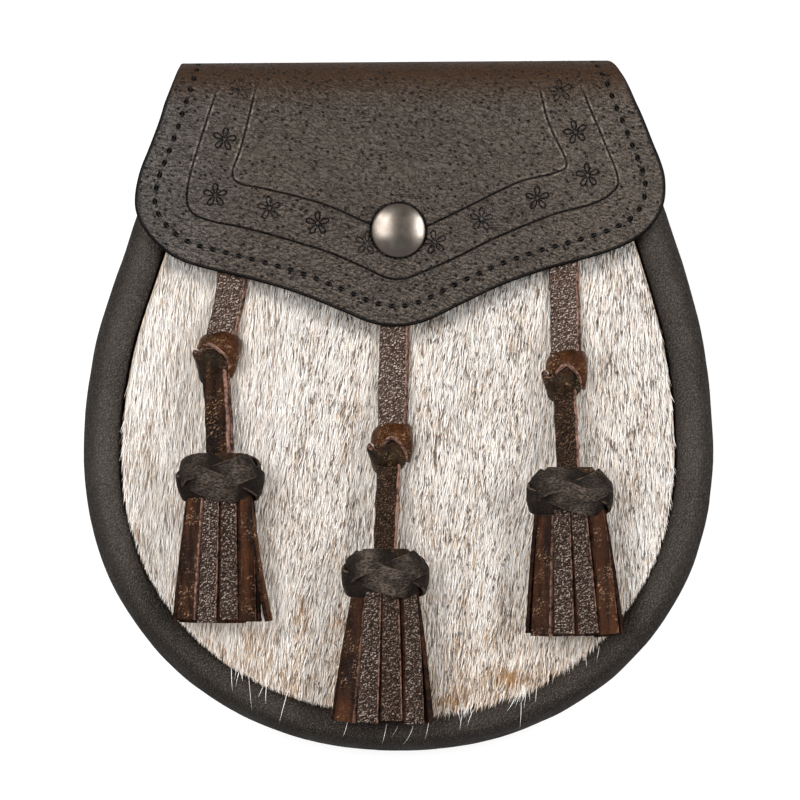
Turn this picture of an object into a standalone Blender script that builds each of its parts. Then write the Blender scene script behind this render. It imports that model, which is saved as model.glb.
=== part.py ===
"""A sporran pouch with a rolled leather border, a fur front, a snapped flap and three tassels.

It lies on its back. +X is to the right and +Y is up, seen from the front, and the front faces +Z.
Lengths are in metres. The origin is on the floor, under the middle of the pouch.
"""

import math

import bmesh
import bpy
import numpy as np

MM = 0.001
GAP = 0.3 * MM  # clearance between two pieces that touch

# The body's outline from the front: a superellipse below its widest line, then an arc and a straight side.
HALF_WIDTH = 94.5 * MM
WIDEST_Y = -13.8 * MM
BELLY_DROP = 89.7 * MM
BELLY_POWER = 2.1
SIDE_RADIUS = 144.0 * MM
SIDE_LEAN = math.radians(18.8)
BOTTOM_Y = WIDEST_Y - BELLY_DROP
TOP_Y = 103.5 * MM
BELLY_STEPS = 15
ARC_STEPS = 4
SIDE_STEPS = 4

# Heights over the floor. The border's crest falls towards the top, and the back rises over the belt loops.
CREST_LOW = 32.5 * MM
CREST_HIGH = 26.5 * MM
BACK_LIFT = 7.3 * MM
BACK_LIFT_FROM = -60.0 * MM
BACK_LIFT_TO = 24.0 * MM
BACK_THICK = 2.0 * MM
BACK_INSET = 4.0 * MM
BACK_TOP = 92.0 * MM

# The border gusset: a wall in a C section. Insets run inwards from the outline.
GUSSET_WALL = 1.8 * MM
GUSSET_TOP = 90.0 * MM
BACK_FLANGE_END = 14.0 * MM
BACK_FLANGE_BEND = 8.5 * MM
WAIST_SHARE = 0.42  # height of the widest point, as a share of the wall's height
CREST_INSET = 5.5 * MM
SEAM_INSET = 11.5 * MM
SEAM_DEPTH = 5.0 * MM
FRONT_FLANGE_END = 16.5 * MM
QUARTER_STEPS = 3

# The fur front: hide and pressed-down pile, crowned in the middle.
FUR_INSET = SEAM_INSET + 0.4 * MM
FUR_THICK = 3.2 * MM
FUR_SINK = 1.5 * MM  # of its edge below the border's crest
FUR_CROWN = 2.0 * MM
FUR_TAPER = 0.26  # how fast the crown narrows above the widest line
FUR_TOP = 88.0 * MM
CROWN_FADE = (35.0 * MM, 95.0 * MM)

# The flap: a lay on the front, a fold over the top, and a tail sewn to the back.
FLAP_THICK = 2.2 * MM
FLAP_REST = 0.5 * MM  # over the border's crest
FLAP_CROWN = 3.1 * MM
FLAP_CROWN_HALF = 78.0 * MM
FLAP_CROWN_FADE = (58.0 * MM, 88.0 * MM)
FLAP_DROOP = 1.8 * MM  # of its side edges, past the border's crest
FLAP_DROOP_HALF = (70.0 * MM, 80.5 * MM)  # where that starts and ends, level with FLAP_DROOP_Y
FLAP_DROOP_Y = 62.7 * MM
FLAP_DROOP_FADE = (68.0 * MM, 90.0 * MM)
FOLD_HALF = 70.0 * MM  # half the flap's width where the fold starts
FOLD_TAPER = 0.33  # narrowing for each unit of leather past that line
FOLD_STEPS = 9
TAIL_LENGTH = 9.0 * MM
TAIL_STEPS = 2
LAY_STEPS = 6
FLAP_COLUMNS = 29
FLAP_SKEW = 0.034  # the lay hangs a little lower on its left
FLAP_SKEW_Y = 47.9 * MM  # and all of that skew is reached here
# One row for each turn of the flap's edge from its widest point to the tip, in millimetres.
FLAP_EDGE = (
    {"half": 79.5, "y": 62.7},
    {"half": 78.9, "y": 56.9},
    {"half": 76.2, "y": 51.6},
    {"half": 71.0, "y": 47.9},
    {"half": 63.0, "y": 45.2},
    {"half": 52.0, "y": 42.6},
    {"half": 42.0, "y": 40.1},
    {"half": 30.0, "y": 35.5},
    {"half": 18.0, "y": 29.9},
    {"half": 8.0, "y": 25.2},
    {"half": 0.0, "y": 23.9},
)

# The snap fastener.
SNAP_Y = 52.5 * MM
CAP_RADIUS = 8.1 * MM
CAP_HEIGHT = 3.6 * MM
CAP_LIP = 0.9 * MM
CAP_STEPS = 6
POST_RADIUS = 2.0 * MM
POST_HOLE = 2.5 * MM
SOCKET_RADIUS = 5.6 * MM
SOCKET_BORE = 2.7 * MM
SOCKET_HEIGHT = 1.7 * MM
SOCKET_ROOF = 0.6 * MM
STUD_RADIUS = 5.2 * MM
STUD_BASE = 0.8 * MM
STUD_NECK = 1.6 * MM
STUD_HEAD = 2.2 * MM
STUD_HEAD_THICK = 0.7 * MM
TURN_STEPS = 24

# The belt loops on the back: straps with two sewn feet and a raised span.
LOOP_X = 36.0 * MM
LOOP_WIDTH = 26.0 * MM
LOOP_WALL = 2.0 * MM
LOOP_LOW = 27.0 * MM
LOOP_HIGH = 79.0 * MM
LOOP_FOOT = 7.0 * MM
LOOP_SLOPE = 5.0 * MM

# Straps, overhand knots and tassels.
STRAP_FACE = 7.6 * MM
STRAP_EDGE = 1.7 * MM  # of the cut edge that slants out on its right
STRAP_THICK = 2.2 * MM
STRAP_STEP = 4.0 * MM
TIE_HEIGHT = 9.0 * MM  # of the overhand knot over the fur
TIE_SHARE = 0.4  # of that height at which the strap goes through it
HEAD_DEEP = 8.4 * MM  # the woven knot's half depth
WEAVE_BIGHTS = 4
WEAVE_LEADS = 3
WEAVE_SWING = 3.4 * MM
WEAVE_BAND = 6.6 * MM
WEAVE_RELIEF = 1.9 * MM
WEAVE_UNDER = 0.35  # share of the relief where a band goes under another
WEAVE_ROUND = 11.0 * MM  # mean radius of the knot, for the bands' lean
WEAVE_AROUND = 40
WEAVE_ALONG = 9
# The woven knot's outer form, one row for each height on it, in millimetres from its middle.
KNOT_FORM = (
    {"height": -7.8, "wide": 10.7, "deep": 6.6},
    {"height": -5.2, "wide": 12.4, "deep": 7.8},
    {"height": -1.6, "wide": 13.2, "deep": 8.4},
    {"height": 1.8, "wide": 12.9, "deep": 8.3},
    {"height": 4.8, "wide": 11.3, "deep": 7.2},
    {"height": 7.8, "wide": 7.8, "deep": 5.7},
)
NECK_WIDE = 9.6 * MM
NECK_DEEP = 5.6 * MM
NECK_ABOVE = 2.0 * MM
NECK_BELOW = 7.0 * MM
STRAP_WAY = (5.6 * MM, 3.4 * MM)  # half sizes of the knot's upper hole, which the strap goes in by
STRIPS = 10
STRIP_SHARE = 0.88  # of the pitch round the skirt that a strip takes
STRIP_THICK = 1.7 * MM
STRIP_TRIM = 0.035  # they aren't cut to quite the same length
SKIRT_DEEP = 6.0 * MM
SKIRT_SPREAD = 0.8  # powers of the way down at which the skirt, and a stray strip, spread
STRAY_SPREAD = 1.5
STRIP_STEPS = 5
# One row for each tassel, in millimetres. The strap runs from its sewn end through its overhand knot to
# the head. At fringe_y the skirt is skirt wide each way and lean off the head, and its rightmost strip
# strays that much further.
TASSELS = (
    {"side": "left", "sewn": (-49.4, 54.0), "out": (-50.6, 34.0), "tie": (-54.4, 14.8),
     "head": (-53.2, -21.0), "fringe_y": -64.8, "skirt": 12.4, "lean": -1.2, "stray": 4.6},
    {"side": "centre", "sewn": (-1.4, 41.0), "out": (-1.6, 18.0), "tie": (-2.4, -12.6),
     "head": (-3.9, -49.6), "fringe_y": -95.0, "skirt": 14.6, "lean": -0.8, "stray": 0.0},
    {"side": "right", "sewn": (48.4, 54.0), "out": (49.4, 34.0), "tie": (49.8, 9.2),
     "head": (51.2, -25.2), "fringe_y": -69.0, "skirt": 14.0, "lean": 1.4, "stray": 0.0},
)

# The overhand knot's front band, one row for each place across it, in millimetres from the knot's middle.
TIE_BAND = (
    {"x": -6.7, "low": 0.0, "high": 2.2, "rise": 3.0},
    {"x": -4.4, "low": -0.3, "high": 5.4, "rise": 6.6},
    {"x": -1.2, "low": 1.2, "high": 7.2, "rise": 8.3},
    {"x": 1.4, "low": 3.6, "high": 7.4, "rise": 8.8},
    {"x": 4.2, "low": 0.6, "high": 6.9, "rise": 7.8},
    {"x": 6.4, "low": -3.2, "high": 5.0, "rise": 4.4},
)
TIE_BAND_WALL = 1.8 * MM
TIE_BAND_FALL = 1.6 * MM  # of its upper edge, towards the strap
TIE_BAND_PULL = 0.2  # how much narrower its inner face is
TIE_BAND_STEPS = 3
# The wrap under that band: a blunt barrel along Y.
TIE_LOBE_WIDE = 6.2 * MM
TIE_LOBE_LONG = 6.4 * MM
TIE_LOBE_DEEP = 3.6 * MM
TIE_LOBE_DROP = 1.6 * MM
TIE_LOBE_POWER = 2.5
TIE_LOBE_END = 0.12
TIE_LOBE_STEPS = 6
TIE_LOBE_SIDES = 12


def smooth(value, low, high):
    """0 below low, 1 above high, and an S-shaped ramp between them."""
    share = np.clip((np.asarray(value, float) - low) / (high - low), 0.0, 1.0)
    return share * share * (3.0 - 2.0 * share)


def crest_level(y):
    """Height of the border's crest."""
    return CREST_LOW + (CREST_HIGH - CREST_LOW) * (y - BOTTOM_Y) / (TOP_Y - BOTTOM_Y)


def back_level(y):
    """Height of the back panel's outer face."""
    return BACK_LIFT * smooth(y, BACK_LIFT_FROM, BACK_LIFT_TO)


def fur_level(x, y):
    """Height of the fur front's outer face."""
    below = np.minimum(y - WIDEST_Y, 0.0) / (BELLY_DROP - SEAM_INSET)
    half = HALF_WIDTH - SEAM_INSET - FUR_TAPER * np.maximum(y - WIDEST_Y, 0.0)
    crown = np.maximum(1.0 - (x / half) ** 2 - below**2, 0.0)
    crown = crown * (1.0 - smooth(y, *CROWN_FADE))
    return crest_level(y) - FUR_SINK + FUR_CROWN * crown


def flap_level(x, y):
    """Height of the underside of the flap's lay."""
    crown = np.maximum(1.0 - (x / FLAP_CROWN_HALF) ** 2, 0.0) * (1.0 - smooth(y, *FLAP_CROWN_FADE))
    beside = np.abs(x) + FOLD_TAPER * (y - FLAP_DROOP_Y)
    droop = smooth(beside, *FLAP_DROOP_HALF) * (1.0 - smooth(y, *FLAP_DROOP_FADE))
    return crest_level(y) + FLAP_REST + FLAP_CROWN * crown - FLAP_DROOP * droop


def outline(inset, top):
    """The right half of the body's outline moved inwards by inset, from its lowest point up to y = top."""
    points, normals = [], []
    for angle in np.linspace(math.pi / 2, 0.0, BELLY_STEPS + 1):
        across = max(math.cos(angle), 0.0) ** (2 / BELLY_POWER)
        down = math.sin(angle) ** (2 / BELLY_POWER)
        points.append((HALF_WIDTH * across, WIDEST_Y - BELLY_DROP * down))
        slope = (across ** (BELLY_POWER - 1) / HALF_WIDTH, -(down ** (BELLY_POWER - 1)) / BELLY_DROP)
        normals.append(np.array(slope) / math.hypot(*slope))
    for angle in np.linspace(0.0, SIDE_LEAN, ARC_STEPS + 1)[1:]:
        normals.append(np.array((math.cos(angle), math.sin(angle))))
        inwards = SIDE_RADIUS * (1 - math.cos(angle))
        points.append((HALF_WIDTH - inwards, WIDEST_Y + SIDE_RADIUS * math.sin(angle)))
    start = np.array(points[-1])
    end_y = top + inset * math.sin(SIDE_LEAN)
    for y in np.linspace(start[1], end_y, SIDE_STEPS + 1)[1:]:
        points.append((start[0] - (y - start[1]) * math.tan(SIDE_LEAN), y))
        normals.append(normals[-1])
    return np.array(points) - inset * np.array(normals), np.array(normals)


def material(name, colour, roughness, metallic=0.0):
    made = bpy.data.materials.new(name)
    made.use_nodes = True
    shader = made.node_tree.nodes["Principled BSDF"]
    shader.inputs["Base Color"].default_value = (*colour, 1.0)
    shader.inputs["Roughness"].default_value = roughness
    shader.inputs["Metallic"].default_value = metallic
    made.diffuse_color = (*colour, 1.0)
    return made


def add_object(name, points, faces, finish, smooth_angle=40.0):
    """A mesh object with its faces turned outwards and its soft edges shaded smooth."""
    mesh = bpy.data.meshes.new(name)
    work = bmesh.new()
    verts = [work.verts.new(point) for point in points]
    for face in faces:
        work.faces.new([verts[index] for index in face])
    bmesh.ops.remove_doubles(work, verts=work.verts, dist=0.001 * MM)
    bmesh.ops.recalc_face_normals(work, faces=work.faces)
    if work.calc_volume(signed=True) < 0.0:
        bmesh.ops.reverse_faces(work, faces=work.faces)
    work.to_mesh(mesh)
    work.free()
    mesh.materials.append(finish)
    mesh.shade_smooth()
    mesh.set_sharp_from_angle(angle=math.radians(smooth_angle))
    made = bpy.data.objects.new(name, mesh)
    bpy.context.scene.collection.objects.link(made)
    return made


def sweep_faces(rings, count, closed):
    """Quads that join rings of count points each, with end caps unless the sweep closes on itself."""
    faces = []
    for ring in range(rings if closed else rings - 1):
        after = (ring + 1) % rings
        for point in range(count):
            beside = (point + 1) % count
            here, there = ring * count, after * count
            faces.append((here + point, here + beside, there + beside, there + point))
    if not closed:
        faces.append(tuple(range(count)))
        faces.append(tuple((rings - 1) * count + point for point in reversed(range(count))))
    return faces


def sweep(name, rings, finish, closed=False):
    """One solid through rings, an array of rings x points x 3."""
    rings = np.asarray(rings, float)
    faces = sweep_faces(rings.shape[0], rings.shape[1], closed)
    return add_object(name, rings.reshape(-1, 3), faces, finish)


def wall(name, outer, inner, finish):
    """One solid between two grids of rows x columns x 3, such as the two faces of a sheet of leather."""
    rows, columns = outer.shape[:2]
    faces = []
    for offset in (0, rows * columns):
        for row in range(rows - 1):
            for column in range(columns - 1):
                corner = offset + row * columns + column
                faces.append((corner, corner + 1, corner + columns + 1, corner + columns))
    rim = [column for column in range(columns)]
    rim += [row * columns + columns - 1 for row in range(1, rows)]
    rim += [(rows - 1) * columns + column for column in reversed(range(columns - 1))]
    rim += [row * columns for row in reversed(range(1, rows - 1))]
    for here, after in zip(rim, rim[1:] + rim[:1]):
        faces.append((here, after, rows * columns + after, rows * columns + here))
    points = np.concatenate([outer.reshape(-1, 3), inner.reshape(-1, 3)])
    return add_object(name, points, faces, finish)


def turned(name, profile, centre, finish):
    """A solid turned about an upright axis from a profile of (radius, height) that starts and ends on it."""
    angles = np.linspace(0.0, 2 * math.pi, TURN_STEPS, endpoint=False)
    rings = [
        [(centre[0] + radius * math.cos(a), centre[1] + radius * math.sin(a), height) for a in angles]
        for radius, height in profile
    ]
    count = len(angles)
    faces = []
    for ring in range(len(rings) - 1):
        for point in range(count):
            beside = (point + 1) % count
            here, there = ring * count, (ring + 1) * count
            quad = (here + point, here + beside, there + beside, there + point)
            if profile[ring][0] == 0.0:
                quad = (quad[0], quad[2], quad[3])
            elif profile[ring + 1][0] == 0.0:
                quad = quad[:3]
            faces.append(quad)
    # The rings on the axis fold into one point each when doubles are removed.
    return add_object(name, np.array(rings).reshape(-1, 3), faces, finish)


def boolean(target, other, operation):
    """Joins other to target, or cuts it away, and hides other as a helper."""
    modifier = target.modifiers.new(operation.title(), "BOOLEAN")
    modifier.operation = operation
    modifier.object = other
    other.hide_render = True
    other.display_type = "WIRE"


def gusset_section():
    """The gusset's outer face as (inset, share of height, drop), from its back flange to its front one."""
    section = [(BACK_FLANGE_END, 0.0, 0.0), (BACK_FLANGE_BEND, 0.0, 0.0)]
    turns = np.linspace(0.0, math.pi / 2, QUARTER_STEPS + 1)[1:]
    for turn in turns:
        section.append((BACK_FLANGE_BEND * (1 - math.sin(turn)), WAIST_SHARE * (1 - math.cos(turn)), 0.0))
    for turn in turns:
        share = WAIST_SHARE + (1 - WAIST_SHARE) * math.sin(turn)
        section.append((CREST_INSET * (1 - math.cos(turn)), share, 0.0))
    for turn in turns:
        inset = CREST_INSET + (SEAM_INSET - CREST_INSET) * math.sin(turn)
        section.append((inset, 1.0, SEAM_DEPTH * (1 - math.cos(turn))))
    section.append((FRONT_FLANGE_END, 1.0, SEAM_DEPTH))
    return section


def offset_inwards(points, distance):
    """A polyline of (inset, height) moved to its right-hand side by distance, with mitred corners."""
    points = np.asarray(points)
    legs = np.diff(points, axis=0)
    legs = legs / np.linalg.norm(legs, axis=1)[:, None]
    rights = np.stack([legs[:, 1], -legs[:, 0]], axis=1)
    before = np.concatenate([rights[:1], rights])
    after = np.concatenate([rights, rights[-1:]])
    mitre = before + after
    mitre = mitre / np.sum(mitre * before, axis=1)[:, None]
    return points + distance * mitre


def build_gusset(leather):
    half, normals = outline(0.0, GUSSET_TOP)
    mirrored = np.array((-1.0, 1.0))
    path = np.concatenate([half[::-1] * mirrored, half[1:]])
    outwards = np.concatenate([normals[::-1] * mirrored, normals[1:]])
    rings = []
    for place, normal in zip(path, outwards):
        section = []
        for inset, share, drop in gusset_section():
            y = place[1] - inset * normal[1]
            low = back_level(y) + BACK_THICK + GAP
            section.append((inset, low + share * (crest_level(y) - low) - drop))
        loop = section + list(offset_inwards(section, GUSSET_WALL))[::-1]
        rings.append([(*(place - inset * normal), height) for inset, height in loop])
    return sweep("border_gusset", rings, leather)


def panel_grid(inset, top, columns, level):
    """Rows of points across the body's outline, at the height that level gives."""
    half = outline(inset, top)[0][1:]
    shares = np.linspace(-1.0, 1.0, columns)
    x = half[:, :1] * shares
    y = np.repeat(half[:, 1:], columns, axis=1)
    return np.stack([x, y, level(x, y)], axis=2)


def build_back_panel(leather):
    outer = panel_grid(BACK_INSET, BACK_TOP, 5, lambda x, y: back_level(y))
    return wall("back_panel", outer, outer + (0.0, 0.0, BACK_THICK), leather)


def build_fur_front(fur):
    outer = panel_grid(FUR_INSET, FUR_TOP, 9, fur_level)
    return wall("fur_front", outer, outer - (0.0, 0.0, FUR_THICK), fur)


def spline(points, samples, rounds=8):
    """Evenly spaced samples along a Catmull-Rom curve through points."""
    points = np.asarray(points, float)
    padded = np.concatenate([2 * points[:1] - points[1:2], points, 2 * points[-1:] - points[-2:-1]])
    dense = []
    for a, b, c, d in zip(padded, padded[1:], padded[2:], padded[3:]):
        for t in np.linspace(0.0, 1.0, rounds, endpoint=False):
            dense.append(0.5 * (2 * b + (c - a) * t + (2 * a - 5 * b + 4 * c - d) * t**2
                                + (3 * b - a - 3 * c + d) * t**3))
    dense = np.array(dense + [points[-1]])
    along = np.concatenate([[0.0], np.cumsum(np.linalg.norm(np.diff(dense, axis=0), axis=1))])
    at = np.linspace(0.0, along[-1], samples)
    return np.stack([np.interp(at, along, dense[:, k]) for k in range(dense.shape[1])], axis=1)


def fold_shape():
    """The fold's start line, its axis height and the radius of its inner face."""
    tail = BACK_LIFT - GAP
    start = TOP_Y - FLAP_THICK - 0.5 * (crest_level(TOP_Y) + FLAP_REST - tail)
    radius = 0.5 * (float(flap_level(0.0, start)) - tail)
    return start, tail + radius, radius


def flap_grids():
    """The flap's inner and outer faces, as rows from its lower edge over the fold to its tail's end."""
    fold_y, axis_z, radius = fold_shape()
    edge = np.array([(row["half"], row["y"]) for row in FLAP_EDGE]) * MM
    lower = spline(np.concatenate([edge * (-1.0, 1.0), edge[-2::-1]]), FLAP_COLUMNS)
    shares = np.linspace(-1.0, 1.0, FLAP_COLUMNS)
    upper = np.stack([FOLD_HALF * shares, np.full(FLAP_COLUMNS, fold_y)], axis=1)
    sheets = ([], [])
    for step in np.linspace(0.0, 1.0, LAY_STEPS + 1)[:-1]:
        plan = lower + (upper - lower) * step
        skew = np.clip((fold_y - plan[:, 1]) / (fold_y - FLAP_SKEW_Y), 0.0, 1.0)
        x = plan[:, 0]
        y = plan[:, 1] + FLAP_SKEW * skew * x
        for sheet, rise in zip(sheets, (0.0, FLAP_THICK)):
            sheet.append(np.stack([x, y, flap_level(x, y) + rise], axis=1))
    for turn in np.linspace(0.0, math.pi, FOLD_STEPS + 1):
        half = FOLD_HALF - FOLD_TAPER * (radius + FLAP_THICK) * turn
        for sheet, reach in zip(sheets, (radius, radius + FLAP_THICK)):
            row = (fold_y + reach * math.sin(turn), axis_z + reach * math.cos(turn))
            sheet.append([(half * share, *row) for share in shares])
    for down in np.linspace(0.0, TAIL_LENGTH, TAIL_STEPS + 1)[1:]:
        for sheet, reach in zip(sheets, (radius, radius + FLAP_THICK)):
            row = (fold_y - down, axis_z - reach)
            sheet.append([((half - FOLD_TAPER * down) * share, *row) for share in shares])
    return tuple(np.array(sheet) for sheet in sheets)


def build_flap(leather):
    inner, outer = flap_grids()
    flap = wall("flap", outer, inner, leather)
    low = float(flap_level(0.0, SNAP_Y)) - FLAP_THICK
    high = low + 3 * FLAP_THICK
    profile = ((0.0, high), (POST_HOLE, high), (POST_HOLE, low), (0.0, low))
    boolean(flap, turned("post_hole_cutter", profile, (0.0, SNAP_Y), leather), "DIFFERENCE")
    return flap


def build_snap(metal):
    under = float(flap_level(0.0, SNAP_Y))
    over = under + FLAP_THICK + GAP
    socket = under - GAP
    profile = []
    for turn in np.linspace(0.0, math.pi / 2, CAP_STEPS + 1):
        rise = CAP_LIP + (CAP_HEIGHT - CAP_LIP) * math.cos(turn)
        profile.append((CAP_RADIUS * math.sin(turn), over + rise))
    profile += [
        (CAP_RADIUS, over),
        (POST_RADIUS, over),
        (POST_RADIUS, socket),
        (SOCKET_RADIUS, socket),
        (SOCKET_RADIUS, socket - SOCKET_HEIGHT),
        (SOCKET_BORE, socket - SOCKET_HEIGHT),
        (SOCKET_BORE, socket - SOCKET_ROOF),
        (0.0, socket - SOCKET_ROOF),
    ]
    turned("snap_cap", profile, (0.0, SNAP_Y), metal)
    base = float(fur_level(0.0, SNAP_Y)) + GAP
    head = socket - SOCKET_ROOF - GAP
    profile = (
        (0.0, head),
        (STUD_HEAD, head),
        (STUD_HEAD, head - STUD_HEAD_THICK),
        (STUD_NECK, head - STUD_HEAD_THICK),
        (STUD_NECK, base + STUD_BASE),
        (STUD_RADIUS, base + STUD_BASE),
        (STUD_RADIUS, base),
        (0.0, base),
    )
    turned("snap_stud", profile, (0.0, SNAP_Y), metal)


def build_belt_loop(side, x, leather):
    """A strap on the back whose two feet are sewn down and whose span leaves room for a belt."""
    foot = BACK_LIFT - GAP
    run = [
        (LOOP_LOW, foot),
        (LOOP_LOW + LOOP_FOOT, foot),
        (LOOP_LOW + LOOP_FOOT + LOOP_SLOPE, LOOP_WALL),
        (LOOP_HIGH - LOOP_FOOT - LOOP_SLOPE, LOOP_WALL),
        (LOOP_HIGH - LOOP_FOOT, foot),
        (LOOP_HIGH, foot),
    ]
    below = offset_inwards(run, LOOP_WALL)
    section = run + list(below)[::-1]
    rings = [[(x + across, y, z) for y, z in section] for across in (-LOOP_WIDTH / 2, LOOP_WIDTH / 2)]
    return sweep(f"belt_loop_{side}", rings, leather)


def knot_axis(row):
    """Height of a woven knot's middle, with the knot lying on the fur."""
    x, y = np.array(row["head"]) * MM
    return float(fur_level(x, y)) + GAP + HEAD_DEEP


def strap_route(row):
    """Centre points of a strap's underside, from its sewn end to the top of the tassel's neck."""
    sewn, out, tie, head = (np.array(row[key]) * MM for key in ("sewn", "out", "tie", "head"))
    entry = head + (0.0, NECK_ABOVE + GAP)
    length = np.linalg.norm(sewn - tie) + np.linalg.norm(tie - entry)
    plan = spline([sewn, out, tie, 0.5 * (tie + entry), entry], int(length / STRAP_STEP) + 2)
    laid = fur_level(plan[:, 0], plan[:, 1]) + GAP
    tied = float(fur_level(*tie)) + GAP + TIE_SHARE * TIE_HEIGHT
    entered = knot_axis(row) - STRAP_THICK / 2
    lifted = laid + (tied - float(fur_level(*tie)) - GAP) * (1.0 - smooth(plan[:, 1], tie[1], out[1]))
    strung = np.interp(plan[:, 1], (entry[1], tie[1]), (entered, tied))
    heights = np.where(plan[:, 1] > tie[1], lifted, strung)
    return np.concatenate([plan, heights[:, None]], axis=1)


def build_strap(row, leather):
    """A strap swept down its route, joined to the two wraps of its overhand knot."""
    route = strap_route(row)
    along = np.gradient(route, axis=0)
    along = along / np.linalg.norm(along, axis=1)[:, None]
    across = np.cross(along, (0.0, 0.0, 1.0))
    across = -across / np.linalg.norm(across, axis=1)[:, None]
    up = np.cross(across, along)
    up = up * np.sign(up[:, 2:])
    half = STRAP_FACE / 2
    rings = []
    for place, side, lift in zip(route, across, up):
        right = side if side[0] > 0 else -side
        corners = ((-half, 0.0), (half + STRAP_EDGE / 2, 0.0), (half, 1.0), (-half, 1.0))
        rings.append([place + right * offset + lift * STRAP_THICK * level for offset, level in corners])
    strap = sweep(f"strap_{row['side']}", rings, leather)
    tie_x, tie_y = np.array(row["tie"]) * MM
    floor = float(fur_level(tie_x, tie_y)) + GAP
    boolean(strap, tie_lobe(row["side"], (tie_x, tie_y, floor), leather), "UNION")
    boolean(strap, tie_band(row["side"], (tie_x, tie_y, floor), leather), "UNION")
    return strap


def tie_lobe(side, centre, leather):
    """The wrap of the overhand knot that lies under its front band."""
    rings = []
    for along in np.linspace(-1.0, 1.0, TIE_LOBE_STEPS + 1):
        squeeze = math.sqrt(max(1.0 - abs(along) ** TIE_LOBE_POWER, TIE_LOBE_END))
        y = centre[1] - TIE_LOBE_DROP + TIE_LOBE_LONG * along
        ring = []
        for angle in np.linspace(0.0, 2 * math.pi, TIE_LOBE_SIDES, endpoint=False):
            x = centre[0] + TIE_LOBE_WIDE * squeeze * math.cos(angle)
            z = centre[2] + TIE_LOBE_DEEP * (1.0 + squeeze * math.sin(angle))
            ring.append((x, y, z))
        rings.append(ring)
    return sweep(f"tie_lobe_{side}", rings, leather)


def tie_band(side, centre, leather):
    """The front band of the overhand knot, a sheet bent over the lobe."""
    outer = []
    for row in TIE_BAND:
        across = []
        for share in np.linspace(0.0, 1.0, TIE_BAND_STEPS + 1):
            y = (row["low"] + (row["high"] - row["low"]) * share) * MM
            z = row["rise"] * MM - TIE_BAND_FALL * share**2
            across.append(np.array(centre) + (row["x"] * MM, y, z))
        outer.append(across)
    outer = np.array(outer)
    pull = TIE_BAND_PULL * (outer - centre) * (1.0, 0.0, 0.0)
    return wall(f"tie_band_{side}", outer, outer - pull - (0.0, 0.0, TIE_BAND_WALL), leather)


def weave_relief(angle, height):
    """How far the woven bands stand out of the knot's core at an angle round it and a height along it."""
    relief = 0.0
    for lead in range(WEAVE_LEADS):
        t = (angle + 2 * math.pi * lead) / WEAVE_LEADS
        centre = WEAVE_SWING * math.cos(WEAVE_BIGHTS * t)
        rate = -WEAVE_SWING * WEAVE_BIGHTS / WEAVE_LEADS * math.sin(WEAVE_BIGHTS * t)
        lean = math.atan2(rate, WEAVE_ROUND)
        away = abs(height - centre) * math.cos(lean) / (WEAVE_BAND / 2)
        if away < 1.0:
            over = 0.5 + 0.5 * math.sin(2 * WEAVE_BIGHTS * t)
            relief = max(relief, (WEAVE_UNDER + (1.0 - WEAVE_UNDER) * over) * (1.0 - away**4))
    return WEAVE_RELIEF * relief


def build_woven_knot(row, leather):
    """A ring of woven bands round the tassel's neck."""
    x, y = np.array(row["head"]) * MM
    z = knot_axis(row)
    form = {key: np.array([place[key] for place in KNOT_FORM]) * MM for key in ("height", "wide", "deep")}
    low, high = form["height"][0], form["height"][-1]
    holes = (
        (high, *STRAP_WAY),
        (NECK_ABOVE + 2 * GAP, *STRAP_WAY),
        (NECK_ABOVE + GAP, NECK_WIDE + GAP, NECK_DEEP + GAP),
        (low, NECK_WIDE + GAP, NECK_DEEP + GAP),
    )
    rings = []
    for angle in np.linspace(0.0, 2 * math.pi, WEAVE_AROUND, endpoint=False):
        section = []
        for height in np.linspace(low, high, WEAVE_ALONG + 1):
            sunk = WEAVE_RELIEF - weave_relief(angle, height)
            wide = np.interp(height, form["height"], form["wide"]) - sunk
            deep = np.interp(height, form["height"], form["deep"]) - sunk
            section.append((height, wide, deep))
        section.extend(holes)
        rings.append([(x + wide * math.cos(angle), y + height, z + deep * math.sin(angle))
                      for height, wide, deep in section])
    return sweep(f"woven_knot_{row['side']}", rings, leather, closed=True)


def ellipse_places(wide, deep, shares):
    """Points and outward normals at shares of the way round an ellipse, which starts at its right end."""
    turns = np.linspace(0.0, 2 * math.pi, 721)
    curve = np.stack([wide * np.cos(turns), deep * np.sin(turns)], axis=1)
    run = np.concatenate([[0.0], np.cumsum(np.linalg.norm(np.diff(curve, axis=0), axis=1))])
    at = np.interp(np.mod(shares, 1.0) * run[-1], run, turns)
    normals = np.stack([np.cos(at) / wide, np.sin(at) / deep], axis=1)
    normals = normals / np.linalg.norm(normals, axis=1)[:, None]
    return np.stack([wide * np.cos(at), deep * np.sin(at)], axis=1), normals


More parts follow.
